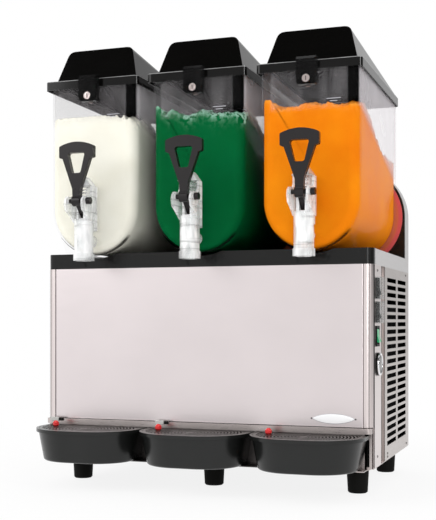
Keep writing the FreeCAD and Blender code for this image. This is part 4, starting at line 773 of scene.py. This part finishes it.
SCREWS = {
    1: ((338.2, 55.5), (134.6, 60.0), (134.6, 54.2), (330.0, 381.0), (40.0, 66.0), (40.0, 378.0)),
    -1: ((338.2, 55.5), (134.6, 60.0), (330.0, 381.0), (40.0, 66.0), (40.0, 378.0)),
}
SIDES = {1: ("right", "+x"), -1: ("left", "-x")}
SIDE_X = 300.0


def dress() -> None:
    """Puts each solid piece's finish into its material slots."""
    for name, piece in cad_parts.items():
        stem = name
        for station in Station:
            stem = stem.removesuffix(f"_{station.label}")
        material = FINISHES[stem].material
        if not piece.data.materials:
            piece.data.materials.append(material)
        for slot in piece.material_slots:
            slot.material = material
        log.info("%s: %s", name, material.name)


@dataclass
class Slush:
    """The ice in one bowl, a lining round the auger with a ragged heap over it.

    The lumps are the lengths and heights of the waves in the heap's top, and the ripples are the
    rates, phases and heights of those along its front edge.
    """

    station: Station
    seed: int = 400
    front_top: float = 653.0
    rear_top: float = 599.0
    fall_start: float = 20.0
    fall: float = 185.0
    lumps: tuple[Span, ...] = ((70, 3.0), (34, 2.4), (16, 1.8), (8, 1.0), (4.5, 0.6))
    ripples: tuple[tuple[float, float, float], ...] = ((1.9, 0.0, 0.7), (0.83, 1.0, 0.9))
    radius: float = 81.9
    auger_room: float = 79.95
    front: float = -22.4
    rear: float = 311.0
    corner: float = 16.6
    cap: float = 18.0
    cap_middle: float = AXIS_Z + 60
    edge_reach: float = 13.0
    frost_depth: float = 5.0
    port: Span = (-41.0, 434.0)
    port_radius: float = 8.6
    port_reach: float = 17.0
    port_bulge: float = 2.0

    def surface_height(self, x: Array, y: Array) -> Array:
        """The heap's height: a smooth fall to the rear, lumps, and the ragged front edge.

        The fall is t * t * (3 - 2 t) of the way from the front top to the rear top. The lumps are
        sums of sine waves. The measured front edge fades out as exp(-d / reach), where d is the
        distance behind the front wall, which is round at its corners.
        """
        seed = np.random.default_rng(int(self.station.value) + self.seed)
        t = np.clip((y - self.fall_start) / self.fall, 0, 1)
        height = self.front_top + (self.rear_top - self.front_top) * t * t * (3 - 2 * t)
        lumps = np.zeros_like(height)
        for size, reach in self.lumps:
            for angle in seed.uniform(0, 2 * np.pi, 3):
                phase = seed.uniform(0, 2 * np.pi)
                run = x * np.cos(angle) + y * np.sin(angle)
                lumps += np.sin(run * 2 * np.pi / size + phase) * reach / 2
        places, heights = np.array(EDGES[self.station], float).T
        edge = np.interp(x, places, heights) + sum(
            np.sin(x * rate + phase) * reach for rate, phase, reach in self.ripples)
        beyond = np.clip(np.abs(x) - (self.radius - self.corner), 0, self.corner)
        wall = self.front + self.corner - np.sqrt(self.corner ** 2 - beyond ** 2)
        fade = np.exp(-np.clip(y - wall, 0, None) / self.edge_reach)
        return height + lumps * (1 - fade) + (edge - height) * fade

    def shyness(self, y: float) -> float:
        """How far the rounded front draws the outline in at one y: a quarter circle."""
        left = self.corner - min(y - self.front, self.corner)
        return self.corner - math.sqrt(max(self.corner ** 2 - left ** 2, 0.0))

    def loop(self, y: float) -> Array:
        """The outline at one y: round below, straight walls, and the heap on top.

        Args:
            y: the place along the bowl in millimetres.

        Returns:
            N by 3 points, anticlockwise seen from the front.
        """
        radius = self.radius - self.shyness(y)
        low = arc(2 * np.pi, 61, np.pi) * radius + (0, AXIS_Z)
        across = np.linspace(radius, -radius, 111)
        high = self.surface_height(across, np.full(across.shape, y)) - self.shyness(y) * 0.2
        top = np.stack([across, high], axis=1)
        flat = np.concatenate([low, np.linspace(low[-1], top[0], 30)[1:-1], top,
                               np.linspace(top[-1], low[0], 30)[1:-1]])
        return np.stack([flat[:, 0], np.full(len(flat), y), flat[:, 1]], axis=1)

    def front_cap(self, rim: Array) -> Array:
        """The flat front as rings drawn towards a middle, close together under the edge."""
        middle = np.array([0.0, self.front, self.cap_middle])
        shares = 1 - np.array([0.008, 0.016, 0.026, 0.04, 0.06, 0.09, 0.14, 0.25, 0.45, 0.7])
        return middle + (rim[None] - middle) * shares[:, None, None]

    def frost(self, piece: Piece) -> None:
        """Stores how near each point lies to the top edge: exp(-(height - z) / depth)."""
        mesh = piece.data
        flat = np.empty(len(mesh.vertices) * 3)
        mesh.vertices.foreach_get("co", flat)
        places = flat.reshape(-1, 3) / MM - (self.station.value, PANEL_Y, 0.0)
        under = self.surface_height(places[:, 0], places[:, 1]) - places[:, 2]
        near = np.exp(-np.clip(under, 0, None) / self.frost_depth)
        mesh.attributes.new("frost", "FLOAT", "POINT").data.foreach_set("value", near)

    def build(self) -> None:
        """Builds the ice as one closed shell: outside, front cap, rear ring and auger room."""
        ys = np.concatenate([self.front + self.corner * (1 - np.cos(np.linspace(0, np.pi / 2, 12))),
                             np.linspace(self.front + self.corner, self.rear, 105)[1:]])
        outer = np.stack([self.loop(y) for y in ys])
        count = outer.shape[1]
        angle = np.arctan2(outer[-1, :, 2] - AXIS_Z, outer[-1, :, 0])
        inner = np.stack(np.broadcast_arrays(
            self.auger_room * np.cos(angle),
            np.linspace(self.rear, self.front + self.cap, 12)[:, None],
            AXIS_Z + self.auger_room * np.sin(angle)), axis=-1)
        shell = np.concatenate([self.front_cap(outer[0])[::-1], outer, inner])
        points = np.concatenate([shell.reshape(-1, 3), [[0, self.front, self.cap_middle]],
                                 [[0, self.front + self.cap, AXIS_Z]]])
        points[:, 0] += self.station.value
        tip, well, last = shell.size // 3, shell.size // 3 + 1, shell.size // 3 - count
        pairs = [(a, (a + 1) % count) for a in range(count)]
        faces = rings(len(shell), count) + [(b, a, tip) for a, b in pairs]
        faces += [(last + a, last + b, well) for a, b in pairs]
        self.frost(add_piece(f"slush_{self.station.label}", [(points, faces)],
                             f"bowl_{self.station.label}", SLUSH[self.station], 60.0))

    def plug(self) -> None:
        """Builds the ice that fills the bowl's outlet as far as the tap's piston."""
        bulge = arc(np.pi / 2, 5)[:-1] * (self.port_radius, self.port_bulge)
        profile = np.concatenate([[(self.port_radius, -self.port_reach)], bulge,
                                  [(0.6, self.port_bulge)]])
        shell = turned(profile, 32, (self.station.value, *self.port), "-y")
        piece = add_piece(f"outlet_ice_{self.station.label}", [shell],
                          f"bowl_{self.station.label}", SLUSH[self.station])
        piece.data.attributes.new("frost", "FLOAT", "POINT")


@dataclass
class LevelMark:
    """Two plain lines on a bowl's front that show how far it may be filled."""

    station: Station
    offset: float = 42.0
    face_y: float = -26.05
    level: float = 658.0
    lengths: tuple[float, ...] = (24.0, 13.0)
    step: float = 4.2
    half_high: float = 0.55
    thick: float = 0.3

    def build(self) -> None:
        """Builds both lines as thin raised bars with rounded ends."""
        x = self.station.value + self.offset
        parts = [tile((length / 2, self.half_high), self.half_high * 0.98, self.thick, 0.12,
                      (x, self.face_y, self.level - self.step * number))
                 for number, length in enumerate(self.lengths)]
        add_piece(f"level_mark_{self.station.label}", parts, f"bowl_{self.station.label}", MARK)


@dataclass
class Grille:
    """One tray's grille: ribs in rings, cut off by a border that follows the tray's rim."""

    station: Station
    half: float = 91.5
    front: float = -105.0
    rear: float = -8.8
    corner: float = 73.0
    border: float = 5.5
    top: float = 105.5
    thick: float = 3.5
    middle: Span = (0.0, -58.0)
    rib: float = 2.7
    pitch: float = 5.6
    first: float = 10.0
    last: float = 96.0
    hub: float = 7.0
    spoke_half: float = 1.3
    float_place: Span = (-66.0, -36.0)
    float_room: float = 7.4

    def outline(self, inset: float) -> Array:
        """The plan drawn in by an inset: a square rear and two round front corners."""
        radius = self.corner - inset
        half, front, rear = self.half - inset, self.front + inset, self.rear - inset
        left = (radius - half, front + radius) - radius * arc(np.pi / 2, 40)
        back = np.stack([np.linspace(half, -half, 30), np.full(30, rear)], axis=1)
        return np.concatenate([left, left[::-1] * (-1, 1), back])

    def inside(self, places: Array) -> Array:
        """Which places lie within the border and clear of the float."""
        radius = self.corner - self.border
        half, front = self.half - self.border, self.front + self.border
        x, y = places.T
        beyond_x = np.clip(np.abs(x) - (half - radius), 0, None)
        beyond_y = np.clip(front + radius - y, 0, None)
        room = np.hypot(*(places - self.float_place).T) > self.float_room + 1.0
        return (np.hypot(beyond_x, beyond_y) < radius) & (y < self.rear - self.border) & room

    def rail(self, left: Array, right: Array, come_round: bool = False) -> Shell:
        """A bar between two plan lines, square in section, along them or all round.

        Args:
            left, right: N by 2 places round the station's middle.
            come_round: whether the lines' last places join their first.

        Returns:
            A closed shell.
        """
        low, high = self.top - self.thick, self.top
        rows = [np.column_stack([line[:, 0] + self.station.value, line[:, 1],
                                 np.full(len(line), z)])
                for line, z in ((left, low), (left, high), (right, high), (right, low))]
        return closed(np.stack(rows, axis=1), come_round)

    def ring(self, ways: Array, radius: float) -> list[Shell]:
        """One ring's rib, in as many runs as the border and the float leave of it.

        Args:
            ways: unit vectors all round.
            radius: the rib's inner radius.

        Returns:
            A closed shell for each run of more than two places.
        """
        outer, inner = self.middle + ways * (radius + self.rib), self.middle + ways * radius
        keep = self.inside(self.middle + ways * (radius + self.rib / 2))
        if keep.all():
            return [self.rail(outer, inner, True)]
        order = np.roll(np.arange(len(ways)), -int(np.argmin(keep)))
        marks = np.flatnonzero(np.diff(np.concatenate([[0], keep[order], [0]])))
        runs = [order[start:stop] for start, stop in marks.reshape(-1, 2) if stop - start > 2]
        return [self.rail(outer[run], inner[run]) for run in runs]

    def build(self) -> None:
        """Builds the border, the float's collar, the hub, the rings' ribs and the spokes."""
        collar = circle(40)
        hub = np.array([(self.hub, 0.0), (self.hub, self.thick)])
        x, y = self.middle
        parts = [self.rail(self.outline(0.0), self.outline(self.border), True),
                 self.rail(self.float_place + collar * (self.float_room + 2.2),
                           self.float_place + collar * (self.float_room - 0.6), True),
                 turned(hub, 48, (x + self.station.value, y, self.top - self.thick), "+z")]
        for radius in np.arange(self.first, self.last, self.pitch):
            parts += self.ring(circle(240), radius)
        for angle in np.arange(6) * np.pi / 3 + np.pi / 6:
            way, across = arc(angle + np.pi / 2, 2, angle)
            line = self.middle + way * np.linspace(self.hub - 0.5, self.last - 1, 90)[:, None]
            line = line[self.inside(line)]
            parts.append(self.rail(line - across * self.spoke_half,
                                   line + across * self.spoke_half))
        piece = add_piece(f"grille_ribs_{self.station.label}", parts,
                          f"grille_{self.station.label}", GRILLE_BLACK, 30.0)
        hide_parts(f"drip_grille_{self.station.label}")


@dataclass
class Spring:
    """The return spring over one piston, a fixed coil that does not shorten as the piston lifts."""

    station: Station
    radius: float = 7.0
    wire: float = 0.7
    turns: int = 6
    middle_y: float = -57.0
    low: float = 506.0
    high: float = 537.5
    roof: float = 538.5
    keep: float = 0.345

    def build(self) -> None:
        """Builds the wire: a ring of points carried along a helix.

        The helix has the angle a = 2 pi * turns * t and rises evenly with t. A ring's points lie
        along the outward direction and along the up direction, and its ends are closed.
        """
        t = np.linspace(0, 1, self.turns * 28 + 1)[:, None]
        angle = t * 2 * np.pi * self.turns
        out, up = circle(10).T * self.wire
        reach = self.radius + out
        shell = closed(np.stack(np.broadcast_arrays(
            self.station.value + reach * np.cos(angle), self.middle_y + reach * np.sin(angle),
            self.low + (self.high - self.low) * t + up), axis=-1))
        piece = add_piece(f"spring_coil_{self.station.label}", [shell],
                          f"bowl_{self.station.label}", SPRING_STEEL, 60.0)
        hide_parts(f"tap_spring_{self.station.label}")
        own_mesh(piece)


@dataclass
class Trims:
    """The small pieces that the cabinet and its knob lack, in millimetres."""

    lip_radius: float = 82.75
    lip_half: Span = (2.7, 2.7)
    lip_middle: float = 319.0
    badge: Place = (233.7, -0.02, 130.7)
    badge_half: Span = (35.5, 7.9)
    badge_screw: float = 1.5
    side_screw: float = 2.2
    seams: tuple[Span, ...] = ((11.6, 2.4), (105.7, 1.5))
    seam_ends: Span = (50.0, 387.0)
    catches: tuple[float, ...] = (-289.0, -83.5)
    catch_face: Span = (-7.95, 115.6)
    catch_long: float = 17.0
    catch_end_long: float = 8.0
    knob: Place = (SIDE_X, 40.0, 221.0)
    knob_ring: float = 17.4
    knob_wire: float = 1.9
    knob_ring_height: float = 4.3
    knob_cap: float = 11.8
    knob_cap_shift: float = 1.6

    def gasket_lips(self) -> None:
        """Builds the gaskets' soft inner lips, which close the gap up to the ice.

        Each is a rounded rectangle carried round its bowl's axis.
        """
        section = rounded_box(*self.lip_half, 1.2) * (1, -1)
        section += (self.lip_radius, -self.lip_middle)
        add_piece("gasket_lips", [
            turned(section, 120, (station.value, 0.0, AXIS_Z), "-y", True)
            for station in Station], "case", SEAL_RED)

    def blank_badge(self) -> None:
        """Builds a blank oval plate at the panel's lower right, with a screw at each end.

        Its outline is (a cos t, b sin t times the root of |sin t|).
        """
        half_wide, half_high = self.badge_half
        across, up = circle(72).T
        rim = np.stack([half_wide * across, half_high * (up * np.sqrt(np.abs(up)))], axis=1)
        add_piece("badge_plate", [plate(rim, 1.1, 0.5, self.badge, crown=0.5)], "case", BADGE)
        add_piece("badge_border", [plate(rim * (1.022, 1.09), 0.7, 0.2, self.badge)], "case", MARK)
        x, y, z = self.badge
        add_piece("badge_screws", [
            self.screw_head(self.badge_screw, (x + side * (half_wide + 1.9), y, z), "-y")
            for side in (-1, 1)], "case", SCREW_DARK)

    @staticmethod
    def screw_head(radius: float, place: Place, way: str) -> Shell:
        """One head: a dome half a radius high, cut off round a small recess."""
        dome = arc(np.pi / 2 * 0.8, 6) * (radius, radius * 0.5)
        recess = [(radius * 0.26, radius * 0.44), (radius * 0.2, radius * 0.15)]
        return turned(np.concatenate([[(radius, -0.01)], dome, recess]), 20, place, way)

    def side_screws(self) -> None:
        """Builds the screw heads on both side panels."""
        for side, (label, way) in SIDES.items():
            add_piece(f"side_screws_{label}", [
                self.screw_head(self.side_screw, (side * SIDE_X, y, z), way)
                for y, z in SCREWS[side]], "case", SCREW_DARK)

    def post_seams(self) -> None:
        """Builds the dark joints beside each side strip, to the corner post and the side panel.

        They are thin bars that stand a hair proud, by their y and half width.
        """
        low, high = self.seam_ends
        parts = [tile((half_wide, (high - low) / 2), 0.3, 0.2, 0.08,
                      (side * (SIDE_X - 0.05), y, (low + high) / 2), SIDES[side][1])
                 for y, half_wide in self.seams for side in (-1, 1)]
        add_piece("post_seams", parts, "case", SEAM_DARK)

    def ledge_catches(self) -> None:
        """Builds a small pale catch with a dark end on the ledge behind two of the floats."""
        pale, dark = self.catch_long / 2, self.catch_end_long / 2
        add_piece("ledge_catches", [
            tile((pale, 3.6), 1.6, 3.0, 1.0, (start + pale, *self.catch_face))
            for start in self.catches], "case", CLIP_GREY)
        add_piece("ledge_catch_ends", [
            tile((dark, 2.8), 1.2, 3.6, 0.9, (start + self.catch_long + dark + 0.3,
                                              *self.catch_face))
            for start in self.catches], "case", SEAM_DARK)

    def knob_face(self) -> None:
        """Builds the knob's chrome ring and its domed grey cap, set off to one side."""
        section = (self.knob_ring, self.knob_ring_height) + self.knob_wire * circle(16)
        add_piece("knob_ring", [turned(section, 72, self.knob, "+x", True)], "knob", CHROME)
        dome = arc(np.pi / 2 * 0.97, 9) * (self.knob_cap, 1.9) + (0, 4.6)
        profile = np.concatenate([[(self.knob_cap, 4.0)], dome])
        x, y, z = self.knob
        add_piece("knob_cap", [turned(profile, 56, (x, y + self.knob_cap_shift, z), "+x")],
                  "knob", KNOB_GREY)


@dataclass
class Studio:
    """Floor, soft lights and the camera at the photograph's angle.

    A lamp has a name, a place, a target, a size and a power.
    """

    eye: Place = (0.6254, -1.8180, 0.2935)
    yaw: float = 19.39
    lens: float = 71.87
    rise: float = 0.117
    ground: float = 8.0
    soft_light: float = 0.90
    lamps: tuple[tuple[str, Place, Place, float, float], ...] = (
        ("key", (-2.5, -2.4, 2.2), (0, 0, 0.4), 2.2, 54),
        ("near", (1.3, -2.3, 0.8), (0, 0, 0.5), 0.8, 9),
        ("fill", (2.6, -1.3, 1.2), (0, 0, 0.5), 0.5, 12),
    )

    def build(self) -> None:
        """Builds the floor, the world, the lamps and the camera."""
        size = self.ground
        mesh = bpy.data.meshes.new("floor")
        mesh.from_pydata([(-size, -size, 0), (size, -size, 0), (size, size, 0), (-size, size, 0)],
                         [], [(0, 1, 2, 3)])
        mesh.materials.append(self.backdrop())
        floor = add_object("floor", mesh)
        self.world()
        for lamp in self.lamps:
            self.lamp(*lamp)
        self.camera()

    def backdrop(self) -> Material:
        """A white surface that lamps light softly and that shows as white where it is seen."""
        n = Nodes("floor white")
        white = n.blend(n.noise(3.0), (0.9, 0.9, 0.9), (0.891, 0.891, 0.891))
        lit = n.add("BsdfDiffuse", Color=white)
        glow = n.add("Emission", Color=(1, 1, 1, 1), Strength=1.0)
        away = n.add("VectorMath", Vector=n.place)
        away.operation = "LENGTH"
        share = n.times(n.rays("Camera", "Transmission", "Glossy"),
                        n.span(away.outputs["Value"], 0.86, 1.0, 0.35, 1.1))
        return n.finish(n.mixed(share, lit, glow))

    def world(self) -> None:
        """A white surround to the eye, an even soft light, and a studio to what mirrors it.

        What is mirrored is white to the left, dims with the square of the way to the right, goes
        dark above 30 to 43 degrees and has a bright panel overhead.
        """
        n = Nodes("surround", world=True)
        ways = n.add("SeparateXYZ", Vector=n.place).outputs
        fade = n.span(ways["Z"], 1.0, 0.05, 0.50, 0.68)
        right = n.maths("POWER", n.span(ways["X"], 0.0, 1.0, -0.55, 0.85), 2.0)
        level = n.maths("SUBTRACT", 1.0, n.times(right, 0.78))
        mirrored = n.maths("ADD", n.times(level, fade), n.span(ways["Z"], 0.0, 2.2, 0.90, 0.95))
        seen, glossy = n.rays("Camera", "Transmission"), n.rays("Glossy")
        soft = n.times(n.maths("SUBTRACT", 1.0, glossy), self.soft_light)
        hidden = n.times(n.maths("SUBTRACT", 1.0, seen),
                         n.maths("ADD", n.times(glossy, mirrored), soft))
        bpy.context.scene.world = n.finish(
            n.add("Background", Color=(1, 1, 1, 1), Strength=n.maths("ADD", seen, hidden)))

    def lamp(self, name: str, place: Place, target: Place, size: float, power: float) -> None:
        """A square soft lamp aimed at a point."""
        light = bpy.data.lights.new(name, "AREA")
        light.size = size
        light.energy = power
        lamp = add_object(name, light)
        aim = np.asarray(target, float) - np.asarray(place, float)
        yaw = math.atan2(aim[1], aim[0]) - math.pi / 2
        tilt = math.atan2(aim[2], math.hypot(aim[0], aim[1]))
        lamp.rotation_euler = (math.pi / 2 + tilt, 0, yaw)
        lamp.location = place

    def camera(self) -> None:
        """A level camera whose view is shifted up, as the photograph's is."""
        lens = bpy.data.cameras.new("camera")
        lens.sensor_width = 36.0
        lens.lens = self.lens
        lens.shift_y = self.rise
        lens.clip_end = 50.0
        camera = add_object("camera", lens)
        camera.location = self.eye
        camera.rotation_euler = (math.pi / 2, 0, math.radians(self.yaw))
        bpy.context.scene.camera = camera


def main() -> None:
    """Builds the studio, dresses the solid pieces and adds the pieces that they lack."""
    logging.basicConfig(level=logging.INFO)
    bpy.context.scene.view_settings.view_transform = "Standard"
    Studio().build()
    dress()
    for station in Station:
        slush = Slush(station)
        slush.build()
        slush.plug()
        LevelMark(station).build()
        Grille(station).build()
        Spring(station).build()
    trims = Trims()
    trims.gasket_lips()
    trims.blank_badge()
    trims.post_seams()
    trims.ledge_catches()
    trims.knob_face()
    trims.side_screws()


if __name__ == "__main__":
    main()
